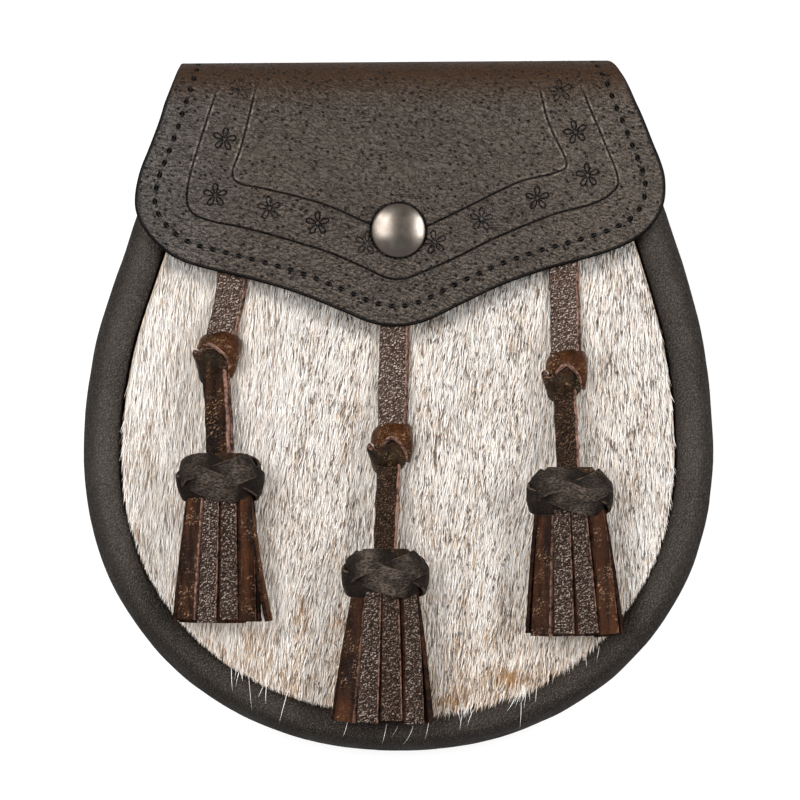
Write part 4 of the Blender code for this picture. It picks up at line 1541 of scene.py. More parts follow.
    def cut_edge(self) -> Array:
        """The edge from the fold's left end round the tip to its right end, after its slight skew.

        Returns:
            Its places on the pattern, one row each.
        """
        left, right = np.array(self.left_edge) * (-1.0, 1.0), np.array(self.right_edge)
        x, v = spline(np.concatenate([left, [(0.0, self.tip)], right[::-1]]) * MM, 330).T
        share = np.clip((self.fold_y - v) / (self.fold_y - self.skew_y), 0.0, 1.0)
        return coords(x, v + self.skew * share * x)

    def open_edge(self) -> Array:
        """The whole cut edge but for the tail's end, from the tail's left corner to its right one.

        Returns:
            Its places on the pattern, one row each.
        """
        turns = np.linspace(math.pi / 2, 0.0, 24)[:-1]
        cut, level = self.cut_edge(), self.fold_y + self.reach * turns
        left = coords(self.left_taper * self.reach * np.sin(turns) + cut[0, 0], level)
        right = coords(cut[-1, 0] - self.right_taper * self.reach * turns, level)
        left = even(np.concatenate([[(-self.tail_half, self.end)], left]), 50)
        right = even(np.concatenate([[(self.tail_half, self.end)], right]), 50)
        return np.concatenate([left, cut, right[::-1]])

    def surface(self, plan: Array, depth: Number) -> Array:
        """Lays the pattern on the pouch.

        Args:
            plan: Places on the pattern, one row each.
            depth: How far below the grain face each lies.

        Returns:
            Points on the pouch.
        """
        x, v = plan.T
        slip = (self.tilt * x - self.sag) * ramp(v, self.fold_y - 25.0 * MM, self.fold_y + 8.0 * MM)
        lay = coords(x, v + slip, self.form.flap(x, v) + self.form.flap_thick - depth)
        turn = np.clip((v - self.fold_y) / self.reach, 0.0, math.pi)
        past = np.maximum(v - self.fold_y - math.pi * self.reach, 0.0)
        bent = self.fold_y + (self.reach - depth) * np.sin(turn) - past + slip
        fold = coords(x, bent, self.axis_z + (self.reach - depth) * np.cos(turn))
        return np.where((v > self.fold_y)[:, None], fold, lay)

    def stamp(self, turn: float) -> list[Array]:
        """The outlines of a stamped flower's petals about its middle.

        Args:
            turn: The first petal's direction, in degrees.

        Returns:
            A line for each petal.
        """
        swing = np.linspace(-math.pi, math.pi, 22)
        along = 2.05 * MM + 1.45 * MM * np.cos(swing)
        across = 0.95 * MM * np.sin(swing) * (0.72 + 0.28 * np.cos(swing))
        lines = []
        for petal in range(self.petals):
            angle = math.radians(turn) + TURN * petal / self.petals
            cos, sin = math.cos(angle), math.sin(angle)
            lines.append(coords(along * cos - across * sin, along * sin + across * cos))
        return lines

    def relief(self, plan: Array) -> tuple[Array, Array]:
        """How far tooling, holes and the rounded edge sink the grain face.

        Args:
            plan: Places on the pattern.

        Returns:
            The depth, and how dark each place is dyed, with the painted shadow round the cap and the painted
            shade in the holes; below 0, a painted highlight on a groove's lip.
        """
        x, v = plan.T
        near = np.clip(gap_to_line(plan, self.edge, closed=True) / self.edge_round, 0.0, 1.0)
        depth = 0.95 * self.edge_round * (1.0 - np.sqrt(1.0 - (1.0 - near) ** 2))
        dye_and_painted_light = (1.0 - near) ** 1.3
        # Painted highlight on the lips of the steep grooves, broken here and there.
        lips = np.zeros(len(plan))
        broken = np.clip(0.6 + 0.7 * waves(x, v, 3.0 * MM, 61), 0.0, 1.0)
        steep, folded = ramp(v, *mm(60.0, 72.0)), ramp(v, *mm(90.0, 100.0))
        for line in self.tooled:
            away = gap_to_line(plan, line) / self.line_width
            groove, lip = bell(away), np.exp(-((away - 2.2) ** 2) / 0.7)
            depth += self.line_depth * (1.0 - 0.7 * folded) * (groove - 0.3 * lip)
            dye_and_painted_light = np.maximum(dye_and_painted_light, (0.95 - 0.4 * steep) * (1.0 - 0.85 * folded) * groove)
            lips = np.maximum(lips, 0.42 * lip * broken * steep * (1.0 - folded))
        # The cap presses a groove round itself, which takes a painted shadow.
        cap_groove_and_shadow = bell(np.hypot(x - self.snap[0], v - self.snap[1]) - self.cap_radius, 0.5 * MM)
        depth += self.cap_depth * cap_groove_and_shadow
        dye_and_painted_light = np.maximum(dye_and_painted_light, 0.9 * cap_groove_and_shadow)
        for *middle, turn, force in self.flowers:
            offset = plan - mm(*middle)
            close = np.flatnonzero(np.hypot(*offset.T) < 5.0 * MM)
            away = np.min([gap_to_line(offset[close], line) for line in self.stamp(turn)], axis=0)
            groove = force * bell(away, self.stamp_width)
            depth[close] += self.stamp_depth * groove
            dye_and_painted_light[close] = np.maximum(dye_and_painted_light[close], groove)
        # Stitch holes sink in, and their dark is painted shade.
        for hole, leg in zip(self.holes, self.seam_legs):
            close = np.flatnonzero(np.abs(plan - hole).max(axis=1) < 3 * self.hole[0])
            along = (plan[close] - hole) @ leg / self.hole[0]
            across = (plan[close] - hole) @ (-leg[1], leg[0]) / self.hole[1]
            pit = np.exp(-(np.hypot(along, across) ** 5))
            depth[close] += self.hole_depth * pit
            dye_and_painted_light[close] = np.maximum(dye_and_painted_light[close], 2.0 * pit)
        return depth, dye_and_painted_light - lips * (1.0 - np.clip(dye_and_painted_light, 0.0, 1.0))

    def sheet(self, places: Array) -> tuple[Array, Array, Array]:
        """Cuts the pattern into triangles that pass the given inner places.

        Args:
            places: One row each.

        Returns:
            All places, the triangles, and where each edge point stands among the places.
        """
        count = len(self.edge)
        sides = [(index, (index + 1) % count) for index in range(count)]
        whole = [tuple(place) for place in np.concatenate([self.edge, places]) / MM]
        made = delaunay_2d_cdt(whole, sides, [], 1, 1e-5)
        found = np.full(count, -1)
        for index, source in enumerate(made[3]):
            for origin in source:
                if origin < count:
                    found[origin] = index
        return np.array([tuple(vert) for vert in made[0]]) * MM, np.array(made[2]), found

    def lattice(self, pitch: float, low: Array, high: Array) -> Array:
        """Places on a triangular lattice between two corners.

        Args:
            pitch: From one place to the next.
            low: The lowest corner.
            high: The highest corner.

        Returns:
            The places, one row each.
        """
        found = []
        for index, v in enumerate(np.arange(low[1], high[1], pitch * math.sqrt(3) / 2)):
            found.append(coords(np.arange(low[0] + (index % 2) * pitch / 2, high[0], pitch), v))
        return np.concatenate(found)

    def clear(self, places: Array, gap: float) -> Array:
        """Those of the places that lie that far inside the cut edge."""
        places = places[inside(places, self.edge)]
        return places[gap_to_line(places, self.edge, closed=True) > gap]

    def places(self) -> Array:
        """Inner places of the grain face, dense where it has relief.

        Returns:
            The places, one row each.
        """
        low, high = self.edge.min(axis=0), self.edge.max(axis=0)
        found = [self.edge - self.outwards * inset for inset in mm(0.14, 0.36, 0.7, 1.3)]
        for line in self.tooled:
            legs = unit(np.gradient(line, axis=0))
            side = coords(-legs[:, 1], legs[:, 0])
            found.extend(line + side * step for step in self.line_steps)
        for x, v, _, _ in self.flowers:
            middle = np.array((x, v)) * MM
            grid = self.lattice(0.19 * MM, middle - 3.9 * MM, middle + 3.9 * MM)
            found.append(grid[np.hypot(*(grid - middle).T) < 3.8 * MM])
        turns = full_turn(72)
        rim = coords(np.cos(turns), np.sin(turns))
        found.extend(self.snap + (self.cap_radius + offset) * rim for offset in mm(-0.5, 0.0, 0.4, 0.9))
        for hole, leg in zip(self.holes, self.seam_legs):
            side = np.array((-leg[1], leg[0]))
            ring = self.hole[0] * rim[::9, :1] * leg + self.hole[1] * rim[::9, 1:] * side
            found.append(hole[None])
            found.extend(hole + share * ring for share in (0.55, 0.85, 1.15, 1.5))
        special = np.concatenate(found)
        base = self.lattice(1.5 * MM, low, high)
        cells = {tuple(cell) for cell in np.floor(special / (0.9 * MM)).astype(int)}
        free = [tuple(cell) not in cells for cell in np.floor(base / (0.9 * MM)).astype(int)]
        return self.clear(np.concatenate([special, base[np.array(free)]]), 0.1 * MM)

    def build(self, shop: Workshop) -> None:
        """Makes the flap and its stitches.

        Args:
            shop: The finishes.
        """
        thick, edge = self.form.flap_thick, self.edge
        plan, triangles, upper = self.sheet(self.places())
        depth, dye_and_painted_light = self.relief(plan)
        base = self.lattice(3.0 * MM, edge.min(axis=0), edge.max(axis=0))
        base = np.concatenate([base, edge - self.outwards * 0.6 * MM])
        under_plan, under_triangles, lower = self.sheet(self.clear(base, 0.3 * MM))
        near = np.clip(gap_to_line(under_plan, edge, closed=True) / (0.5 * MM), 0.0, 1.0)
        top = self.surface(plan, depth)
        under = self.surface(under_plan, thick - self.under_round * (1.0 - near))
        middle = self.surface(edge + self.outwards * self.edge_show, 0.7 * thick)
        lower = lower + len(top)
        waist = len(top) + len(under) + np.arange(len(edge))
        rims = ((waist, upper), (lower, waist))
        walls = np.concatenate([coords(a, np.roll(a, -1), np.roll(b, -1), b) for a, b in rims])
        groups = [(triangles, 0), (under_triangles[:, ::-1] + len(top), 2), (walls, 1)]
        tint = np.concatenate([dye_and_painted_light, np.zeros(len(under) + len(middle))])
        skin = Skin()
        skin.add(np.concatenate([top, under, middle]), groups, tint)
        skin.piece("tooled_flap", [shop.tooled, shop.black_cut, shop.flesh], ["flap"], sharp=75.0)
        self.build_stitches(shop)

    def build_stitches(self, shop: Workshop) -> None:
        """Makes the thread along the edge, and the two rows that hold the tail.

        Args:
            shop: The finishes.
        """
        skin = Skin()
        ends, below = self.surface(self.holes, 0.12 * MM), self.surface(self.holes, 1.2 * MM)
        for start, end, under in zip(ends, ends[1:], below):
            self.thread.stitch(skin, start, end, unit(start - under))
        half = self.tail_half - 4.0 * MM
        for back in mm(3.0, 6.4):
            row = self.surface(np.array([(-half, self.end - back), (half, self.end - back)]), 0.0)
            self.thread.seam(skin, row, -UP, self.pitch)
        skin.piece("flap_stitches", [shop.thread])


@dataclass
class Snap:
    """The snap fastener: a domed cap with a rolled lip on the flap, and its stud under it."""

    form: PouchForm
    place: Pair = mm(0.0, 52.5)
    radius: float = 8.1 * MM
    ball: float = 16.0 * MM  # the dome's own radius
    lip: float = 0.65 * MM  # the rolled lip's own radius
    # The socket under the flap, as radius and height over its top, in millimetres.
    socket: tuple = ((5.6, 0.0), (5.6, -1.7), (2.7, -1.7), (2.7, -0.6), (0.0, -0.6))

    def build(self, shop: Workshop, stud: bpy.types.Object) -> None:
        """Makes the cap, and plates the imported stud.

        Args:
            shop: The finishes.
            stud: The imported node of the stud.
        """
        under = float(self.form.flap(*self.place))
        over = under + self.form.flap_thick + GAP
        slope = math.asin((self.radius - self.lip) / (self.ball - self.lip))
        height = 2 * self.lip + (self.ball - self.lip) * (1.0 - math.cos(slope))
        turns = np.linspace(0.0, slope, 16)
        dome = coords(self.ball * np.sin(turns), over + height - self.ball + self.ball * np.cos(turns))
        turns = np.linspace(math.pi / 2 - slope, -math.pi / 2, 12)[1:]
        inner = self.radius - self.lip
        roll = coords(inner + self.lip * np.cos(turns), over + self.lip + self.lip * np.sin(turns))
        post = [(2.0 * MM, over), (2.0 * MM, under - GAP)]
        socket = np.array(self.socket) * MM + (0.0, under - GAP)
        profile = np.concatenate([dome, roll, post, socket])
        turns = full_turn(96)
        x, y = (middle + profile[:, :1] * part(turns) for middle, part in zip(self.place, (np.cos, np.sin)))
        rings = coords(x, y, profile[:, 1:])
        skin = Skin()
        skin.add_sweep(rings[1:-1], ends=rings[[0, -1], 0])
        skin.piece("snap_dome", [shop.nickel], ["snap_cap"], sharp=40.0)
        stud.data.materials.clear()
        stud.data.materials.append(shop.nickel)


# ---------------------------------------------------------------- tassels


@dataclass(frozen=True)
class OverhandKnot:
    """An overhand knot in a strap: a band over the top, and the lump that it holds.

    Each row gives three places across the bent leather, in millimetres from the knot's middle on the fur.
    """

    band: tuple
    lump: tuple
    wall: float = 1.5 * MM
    core: tuple[float, float, float] = mm(0.0, -0.5, 2.0)  # what the leather bends round

    def bend(self, skin: Skin, rows: tuple, centre: Array, show: float, face: int, tint: float) -> None:
        """Adds a piece of leather that bends through the rows.

        Args:
            skin: What it is added to.
            rows: Its outer edge, its crown and its inner edge, each row further along it.
            centre: The middle of the knot.
            show: How far its inner cut edge shows past its face.
            face: The finish of its face.
            tint: How pale its cut edges are.
        """
        outer, crown, inner = (spline(line, 34)[:, None] for line in np.array(rows).transpose(1, 0, 2) * MM)
        s = np.linspace(0.0, 1.0, 11)[:, None]
        top = outer * (1 - s) * (1 - 2 * s) + crown * 4 * s * (1 - s) + inner * s * (2 * s - 1)
        along, across = np.gradient(top, axis=(0, 1))
        normal = unit(np.cross(along, across))
        normal = normal * np.sign(((top - self.core) * normal).sum(axis=2, keepdims=True))
        across = unit(across)
        under = top - normal * self.wall + across * show * s**3
        rim = 0.5 * (top[:, -1:] + under[:, -1:]) + across[:, -1:] * 0.3 * show
        start = 0.5 * (top[:, :1] + under[:, :1]) - across[:, :1] * 0.2 * MM
        rings = np.concatenate([top, rim, under[:, ::-2], start], axis=1) + centre
        finish = np.array([face] * 10 + [1] * 2 + [2] * (rings.shape[1] - 14) + [1] * 2)
        skin.add_sweep(rings, finish, cap=1, tint=tint)

    def tie(self, skin: Skin, centre: Array) -> None:
        """Adds the knot and its core.

        Args:
            skin: What they are added to.
            centre: The knot's middle on the fur.
        """
        self.bend(skin, self.lump, centre, 0.8 * MM, 4, 0.0)
        self.bend(skin, self.band, centre, 0.9 * MM, 3, 0.6)
        along, turns = np.linspace(-1.0, 1.0, 9)[:, None], full_turn(20)
        squeeze = np.sqrt(np.maximum(1.0 - np.abs(along) ** 2.5, 0.08))
        core = coords(5.0 * squeeze * np.cos(turns), 5.8 * along - 0.4, 2.9 * (1.0 + squeeze * np.sin(turns)))
        skin.add_sweep(core * MM + centre, 4, cap=4)


CURLED_KNOT = OverhandKnot(
    band=(
        ((6.0, -4.4, 1.6), (5.9, -3.9, 3.6), (5.1, -3.7, 4.8)),
        ((6.6, -0.9, 2.2), (6.4, -0.9, 5.0), (4.9, -1.2, 6.4)),
        ((6.8, 3.0, 2.6), (6.0, 2.6, 6.4), (3.8, 0.9, 7.8)),
        ((5.9, 6.9, 2.6), (4.6, 5.5, 7.0), (2.4, 2.6, 8.6)),
        ((1.8, 8.0, 2.8), (1.3, 6.5, 7.2), (0.5, 3.7, 8.9)),
        ((-2.4, 7.6, 2.6), (-1.9, 5.9, 7.0), (-1.3, 3.0, 8.4)),
        ((-5.3, 4.9, 2.2), (-4.3, 3.6, 5.8), (-2.8, 1.1, 6.9)),
        ((-5.9, 1.6, 1.8), (-5.0, 0.9, 4.2), (-3.7, -0.4, 5.2)),
    ),
    lump=(
        ((-5.6, -4.2, 2.2), (-6.6, -1.9, 4.2), (-7.2, 0.5, 5.0)),
        ((-5.2, -6.4, 2.6), (-5.6, -3.4, 5.8), (-5.7, -0.7, 6.6)),
        ((-3.8, -7.8, 3.4), (-3.8, -4.0, 7.2), (-3.8, -0.7, 7.4)),
        ((-1.6, -8.2, 4.0), (-1.4, -3.6, 8.0), (-1.6, 0.7, 7.6)),
        ((1.0, -7.9, 4.0), (1.2, -3.2, 8.0), (0.9, 1.9, 7.4)),
        ((3.0, -6.6, 3.8), (3.3, -2.8, 6.9), (3.0, 0.9, 6.6)),
        ((4.6, -4.8, 3.0), (4.7, -3.2, 4.8), (4.6, -1.2, 5.0)),
    ),
)
HOOKED_KNOT = OverhandKnot(
    band=(
        ((4.6, -6.6, 1.6), (4.2, -5.8, 3.4), (3.2, -4.9, 4.6)),
        ((6.2, -3.0, 2.2), (5.8, -2.5, 5.0), (4.2, -2.2, 6.4)),
        ((7.2, 1.2, 2.6), (6.2, 1.4, 6.4), (3.4, 0.2, 7.9)),
        ((7.0, 5.4, 2.6), (5.2, 4.3, 7.0), (1.7, 1.7, 8.7)),
        ((3.6, 7.6, 2.8), (2.3, 6.1, 7.3), (0.1, 3.1, 9.0)),
        ((-0.8, 7.4, 2.6), (-1.3, 6.2, 7.0), (-2.0, 4.2, 8.5)),
        ((-4.4, 5.9, 2.2), (-4.1, 5.0, 5.8), (-3.6, 3.5, 6.8)),
        ((-6.0, 2.6, 1.8), (-5.7, 2.3, 3.8), (-5.1, 1.7, 4.8)),
    ),
    lump=(
        ((-5.6, -3.4, 2.0), (-6.6, -1.2, 4.0), (-7.3, 0.9, 4.8)),
        ((-5.4, -6.0, 2.4), (-5.6, -2.2, 5.8), (-5.2, 1.2, 6.4)),
        ((-4.4, -7.9, 3.2), (-3.8, -3.0, 7.2), (-3.2, 2.2, 7.4)),
        ((-2.4, -8.4, 3.8), (-1.6, -3.4, 7.9), (-1.0, 2.2, 7.6)),
        ((0.2, -7.9, 4.0), (0.8, -3.4, 7.4), (1.2, 0.8, 7.2)),
        ((2.2, -6.6, 3.6), (2.6, -3.4, 6.3), (2.8, -0.9, 6.4)),
        ((3.6, -5.4, 2.8), (3.9, -3.9, 4.4), (4.0, -2.4, 4.8)),
    ),
)


@dataclass(frozen=True)
class WovenKnot:
    """A woven ring round the tassel's neck: one flat lace that goes round three times."""

    bights: int = 4
    leads: int = 3
    swing: float = 4.1 * MM
    band: float = 7.6 * MM
    edge: float = 0.14 * MM
    wall: float = 0.8 * MM
    puff: float = 0.55 * MM
    lift: float = 1.05 * MM
    steps: int = 280
    filled: tuple[float, ...] = mm(-7.4, -6.0, -2.0, 2.0, 5.0, 7.0)  # levels of the filling behind the lace
    # The outer form, as height, half width and half depth in millimetres.
    form: tuple = (
        (-9.0, 9.2, 5.6), (-7.8, 10.7, 6.6), (-5.2, 12.4, 7.8), (-1.6, 13.2, 8.4),
        (1.8, 12.9, 8.3), (4.8, 11.3, 7.2), (7.8, 7.8, 5.7), (9.0, 6.2, 4.8),
    )

    def barrel(self, angle: Array, height: Array) -> Array:
        """Places on the knot's form, about its middle.

        Args:
            angle: Turns, in radians.
            height: Heights over the knot's middle.

        Returns:
            The places.
        """
        levels, wide, deep = spline(np.array(self.form) * MM, 90).T
        wide, deep = np.interp(height, levels, wide), np.interp(height, levels, deep)
        return coords(wide * np.cos(angle), height, deep * np.sin(angle))

    def weave(self, skin: Skin, centre: Array, phase: float) -> None:
        """Adds the lace.

        Args:
            skin: What it is added to.
            centre: The knot's middle.
            phase: How far it is turned round the neck, in radians.
        """
        t = full_turn(self.steps)
        angle, height = self.leads * t + phase, self.swing * np.cos(self.bights * t)
        over = np.sin(2 * self.bights * t)
        place = self.barrel(angle, height)
        sideways = self.barrel(angle + 0.01, height) - place
        upwards = self.barrel(angle, height + 0.01 * MM) - place
        out = unit(np.cross(upwards, sideways))
        out = out * np.sign((out * place).sum(axis=1, keepdims=True))
        sink = self.wall + self.puff + self.lift * (1.0 - over)
        half = self.band / 2 * (1.0 + 0.05 * np.sin(3.0 * t + phase))
        # Painted shade where the ring turns away to the sides, and in the dips where the lace passes under;
        # the tops that pass over are rubbed and take painted light.
        painted_facing_light = 1.0 - 0.65 * ramp(np.abs(np.cos(angle)), 0.35, 0.95)
        rubbed_and_lit = painted_facing_light * (0.5 + 0.5 * over) ** 1.6
        lace = StripCut(self.wall, self.edge, self.edge, self.puff)
        lace.lay(skin, centre + place - out * sink[:, None], out, half, rubbed_and_lit, cut_tint=0.5, closed=True)

    def fill(self, skin: Skin, centre: Array) -> None:
        """Adds the dark filling behind the lace."""
        core = self.barrel(full_turn(40), np.array(self.filled)[:, None])
        skin.add_sweep(core * (0.76, 1.0, 0.68) + centre, 3, cap=3)


@dataclass
class Tassel:
    """One strap with its overhand knot, woven knot and fringe.

    Its strap is sewn under the flap, comes out of it, is tied, and ends in the fringe's head.
    """

    side: Side
    form: PouchForm
    sewn: Pair
    out: Pair
    tie: Pair
    head: Pair
    fringe_y: float
    skirt: float
    lean: float
    knot: OverhandKnot
    weave_turn: float
    strip_phase: float
    seed: int
    stray: float = 0.0
    low_skin: tuple[int, float] = (0, 0.12)  # finish and tint of the strap below its overhand knot
    ply: float = 0.4 * MM  # how far the strap's under layer shows past its upper one
    face: float = 7.6 * MM
    cut_show: float = 1.5 * MM
    thick: float = 2.2 * MM
    tie_lift: float = 3.6 * MM
    head_deep: float = 8.4 * MM
    neck: Pair = mm(9.6, 5.6)
    neck_above: float = 2.0 * MM
    neck_below: float = 7.0 * MM
    skirt_deep: float = 6.0 * MM
    strips: int = 9
    strip_share: float = 0.84
    strip_thick: float = 1.4 * MM
    tuck: float = 1.7 * MM  # how far inside the skirt's face its second row hangs

    def __post_init__(self) -> None:
        """Works out the levels that the strap and the fringe join."""
        self.axis_z = float(self.form.fur(*self.head)) + GAP + self.head_deep
        self.end_z = float(self.form.crest(self.fringe_y)) + GAP + self.skirt_deep
        self.split_y = self.head[1] - self.neck_below + 3.0 * MM

    def route(self, samples: int) -> Array:
        """Places along the middle of the strap's underside, from its sewn end to the woven knot.

        Args:
            samples: How many places.

        Returns:
            The places, one row each.
        """
        sewn, out, tie, head = (np.array(place) for place in (self.sewn, self.out, self.tie, self.head))
        entry = head + (0.0, self.neck_above + GAP)
        x, y = spline([sewn, out, tie, 0.5 * (tie + entry), entry], samples).T
        tied = float(self.form.fur(*tie)) + GAP + self.tie_lift
        lifted = self.form.fur(x, y) + GAP + self.tie_lift * (1.0 - ramp(y, tie[1], out[1]))
        strung = np.interp(y, (entry[1], tie[1]), (self.axis_z - self.thick / 2, tied))
        return coords(x, y, np.where(y > tie[1], lifted, strung))

    def covers(self, x: Array, y: Array, margin: float) -> Array:
        """Whether places on the fur lie under this tassel.

        Args:
            x: Places across.
            y: Places along.
            margin: How far round the tassel they still count.

        Returns:
            A truth value for each place.
        """
        strap = gap_to_line(coords(x, y), self.route(24)[:, :2]) < (self.face + self.cut_show) / 2 + margin
        share = np.clip((self.head[1] - y) / (self.head[1] - self.fringe_y), 0.0, 1.0)
        half = self.neck[0] + (self.skirt - self.neck[0]) * share**0.8
        middle = self.head[0] + self.lean * share
        level = (y < self.head[1]) & (y > self.fringe_y - margin)
        below = (np.abs(x - middle) < half + margin) & level
        if self.stray:
            strip = middle + half + self.stray * share**1.5 - 1.5 * MM
            below |= (np.abs(x - strip) < 3.0 * MM + margin) & level & (y > self.fringe_y)
        knot = np.hypot((x - self.head[0]) / 13.4, (y - self.head[1]) / 8.4) < MM + margin / 10
        tie = np.hypot((x - self.tie[0]) / 7.2, (y - self.tie[1]) / 8.4) < MM + margin / 8
        return strap | below | knot | tie

    def build(self, shop: Workshop) -> None:
        """Makes the strap, the woven knot and the fringe.

        Args:
            shop: The finishes.
        """
        self.build_strap(shop)
        centre = np.array((*self.head, self.axis_z))
        skin = Skin()
        weaving = WovenKnot()
        weaving.weave(skin, centre, self.weave_turn)
        weaving.fill(skin, centre)
        finishes = [shop.woven, shop.kip_cut, shop.flesh, shop.lump]
        skin.piece(f"laced_knot_{self.side.value}", finishes, [f"woven_knot_{self.side.value}"])
        self.build_fringe(shop)

    def build_strap(self, shop: Workshop) -> None:
        """Makes the strap in two lengths, above and below its overhand knot, the lower one doubled.

        Args:
            shop: The finishes.
        """
        route = self.route(150)
        upper = route[route[:, 1] > self.tie[1] - 2.0 * MM]
        lower = route[route[:, 1] < self.tie[1] + 1.0 * MM]
        skin = Skin()
        wobble = 0.12 * MM * waves(upper[:, 1], upper[:, 1], 14.0 * MM, self.seed)
        strip = StripCut(self.thick, *mm(0.1, 0.85), left_finish=4)
        strip.lay(skin, upper, UP, self.face / 2 + 0.2 * MM + wobble, 1.0, cut_tint=0.1)
        wobble = 0.1 * MM * waves(lower[:, 1], lower[:, 1], 11.0 * MM, 3)
        lower = lower - (0.5 * MM + 0.3 * self.ply, 0.0, 0.0)
        strip = StripCut(1.5 * MM, 0.1 * MM, 0.6 * MM + 0.3 * self.ply, left_finish=4)
        finish, tint = self.low_skin
        strip.lay(skin, lower + 0.9 * MM * UP, UP, 3.1 * MM + wobble, tint, face=finish, cut_tint=0.75)
        strip = StripCut(1.3 * MM, 0.1 * MM, 0.5 * self.ply, left_finish=4)
        under = lower + (self.ply, 0.0, -0.6 * MM)
        strip.lay(skin, under, UP, 3.1 * MM + 0.7 * wobble, 0.1, cut_tint=0.1)
        self.knot.tie(skin, np.array((*self.tie, float(self.form.fur(*self.tie)) + GAP)))
        finishes = [shop.pebbled, shop.cut, shop.flesh, shop.wrap, shop.lump]
        skin.piece(f"tied_strap_{self.side.value}", finishes, [f"strap_{self.side.value}"])

    @staticmethod
    def ring(wide: float, deep: float, share: float) -> tuple[Array, Array]:
        """A place on an ellipse.

        Args:
            wide: Its half width.
            deep: Its half depth.
            share: The way round it, from its right end.

        Returns:
            The place and the outward normal, as x and z.
        """
        turns = np.linspace(0.0, TURN, 361)
        run = lengths(coords(wide * np.cos(turns), deep * np.sin(turns)))
        at = float(np.interp(share % 1.0 * run[-1], run, turns))
        normal = np.array((math.cos(at) / wide, math.sin(at) / deep))
        return np.array((wide * math.cos(at), deep * math.sin(at))), unit(normal)

    def lay_strip(
        self, skin: Skin, share: float, rng: np.random.Generator, tuck: float = 0.0, stray: float = 0.0
    ) -> None:
        """Adds one strip of the skirt.

        Args:
            skin: What it is added to.
            share: Its way round the neck, from the right end.
            rng: Where chance comes from.
            tuck: How far inside the skirt's face it hangs.
            stray: How far it strays to the right at its end.
        """
        twist, bend, trim, sink = rng.uniform((-0.12, -0.35, 0.0, -0.25), (0.12, 0.35, 1.0, 0.25))
        path, ups, halves = [], [], []
        for step in np.linspace(0.0, 1.0, 30):
            spread = step**0.8
            wide = self.neck[0] + (self.skirt - self.neck[0]) * spread
            deep = self.neck[1] + (self.skirt_deep - self.neck[1]) * spread
            place, normal = self.ring(wide, deep, share)
            girth = math.pi * (3 * (wide + deep) - math.sqrt((3 * wide + deep) * (wide + 3 * deep)))
            half = girth / self.strips * self.strip_share / 2 - 0.1 * MM
            halves.append(0.42 * half if stray else half)
            sway = bend * MM * math.sin(2.6 * step + 9.0 * share) + self.lean * step + stray * step**1.4
            place = place - normal * (self.strip_thick + tuck + (sink + 0.3) * MM * (1.0 - 0.4 * step))
            down = self.split_y + (self.fringe_y - self.split_y) * step * (1.0 - 0.03 * trim)
            level = self.axis_z + (self.end_z - self.axis_z) * spread
            path.append((self.head[0] + sway + place[0], down, level + place[1]))
            turn = math.atan2(normal[1], normal[0])
            if normal[1] > 0.3:
                turn = math.pi / 2 + (turn - math.pi / 2) * 0.8
            turn += twist * step - 0.08
            ups.append((math.cos(turn), 0.0, math.sin(turn)))
        front, right = math.sin(TURN * share), math.cos(TURN * share) > 0.0
        pebbled, shown = front > 0.58, front > 0.3 and not tuck
        tint = -0.15
        if pebbled or right:
            tint = rng.uniform(*((0.3, 0.55) if pebbled else (-0.1, 0.3)))
        pale = rng.uniform(0.1, 0.5) if shown else 0.0
        if shown and not right and front < 0.75:
            pale = 0.8
        # Cut edges that tuck under a neighbour, and the faces of the tucked second row, take the dark inner
        # leather as painted shade.
        cut = StripCut(self.strip_thick, 0.1 * MM, (0.45 + 0.25 * pale) * MM, 0.15 * MM, 5, 1 if shown else 5)
        face = 5 if tuck else (0 if pebbled else 3)
        cut.lay(skin, np.array(path), np.array(ups), np.array(halves), tint, face, pale)

    def build_fringe(self, shop: Workshop) -> None:
        """Makes the neck and the skirt: strips all round, a second row under them, and a stray one.

        Args:
            shop: The finishes.
        """
        rng = np.random.default_rng(self.seed)
        x, y = self.head
        levels = np.array((y + self.neck_above, y, y - self.neck_below, y - 14.0 * MM))[:, None]
        wide, deep = (size * np.array((1.0, 1.0, 1.0, 0.7))[:, None] - self.strip_thick for size in self.neck)
        share = np.maximum((self.split_y - levels) / (self.split_y - self.fringe_y), 0.0)
        middle = self.axis_z + (self.end_z - self.axis_z) * share
        turns = full_turn(32)
        skin = Skin()
        skin.add_sweep(coords(x + wide * np.cos(turns), levels, middle + deep * np.sin(turns)), 5, cap=5)
        for shift, tuck in ((0.0, 0.0), (0.5, self.tuck)):
            for strip in range(self.strips):
                self.lay_strip(skin, (strip + self.strip_phase + shift) / self.strips, rng, tuck)
        if self.stray:
            self.lay_strip(skin, 0.03, rng, stray=self.stray)
        finishes = [shop.pebbled, shop.cut, shop.flesh, shop.side, shop.lump, shop.inner]
        skin.piece(f"cut_fringe_{self.side.value}", finishes, [f"fringe_{self.side.value}"])


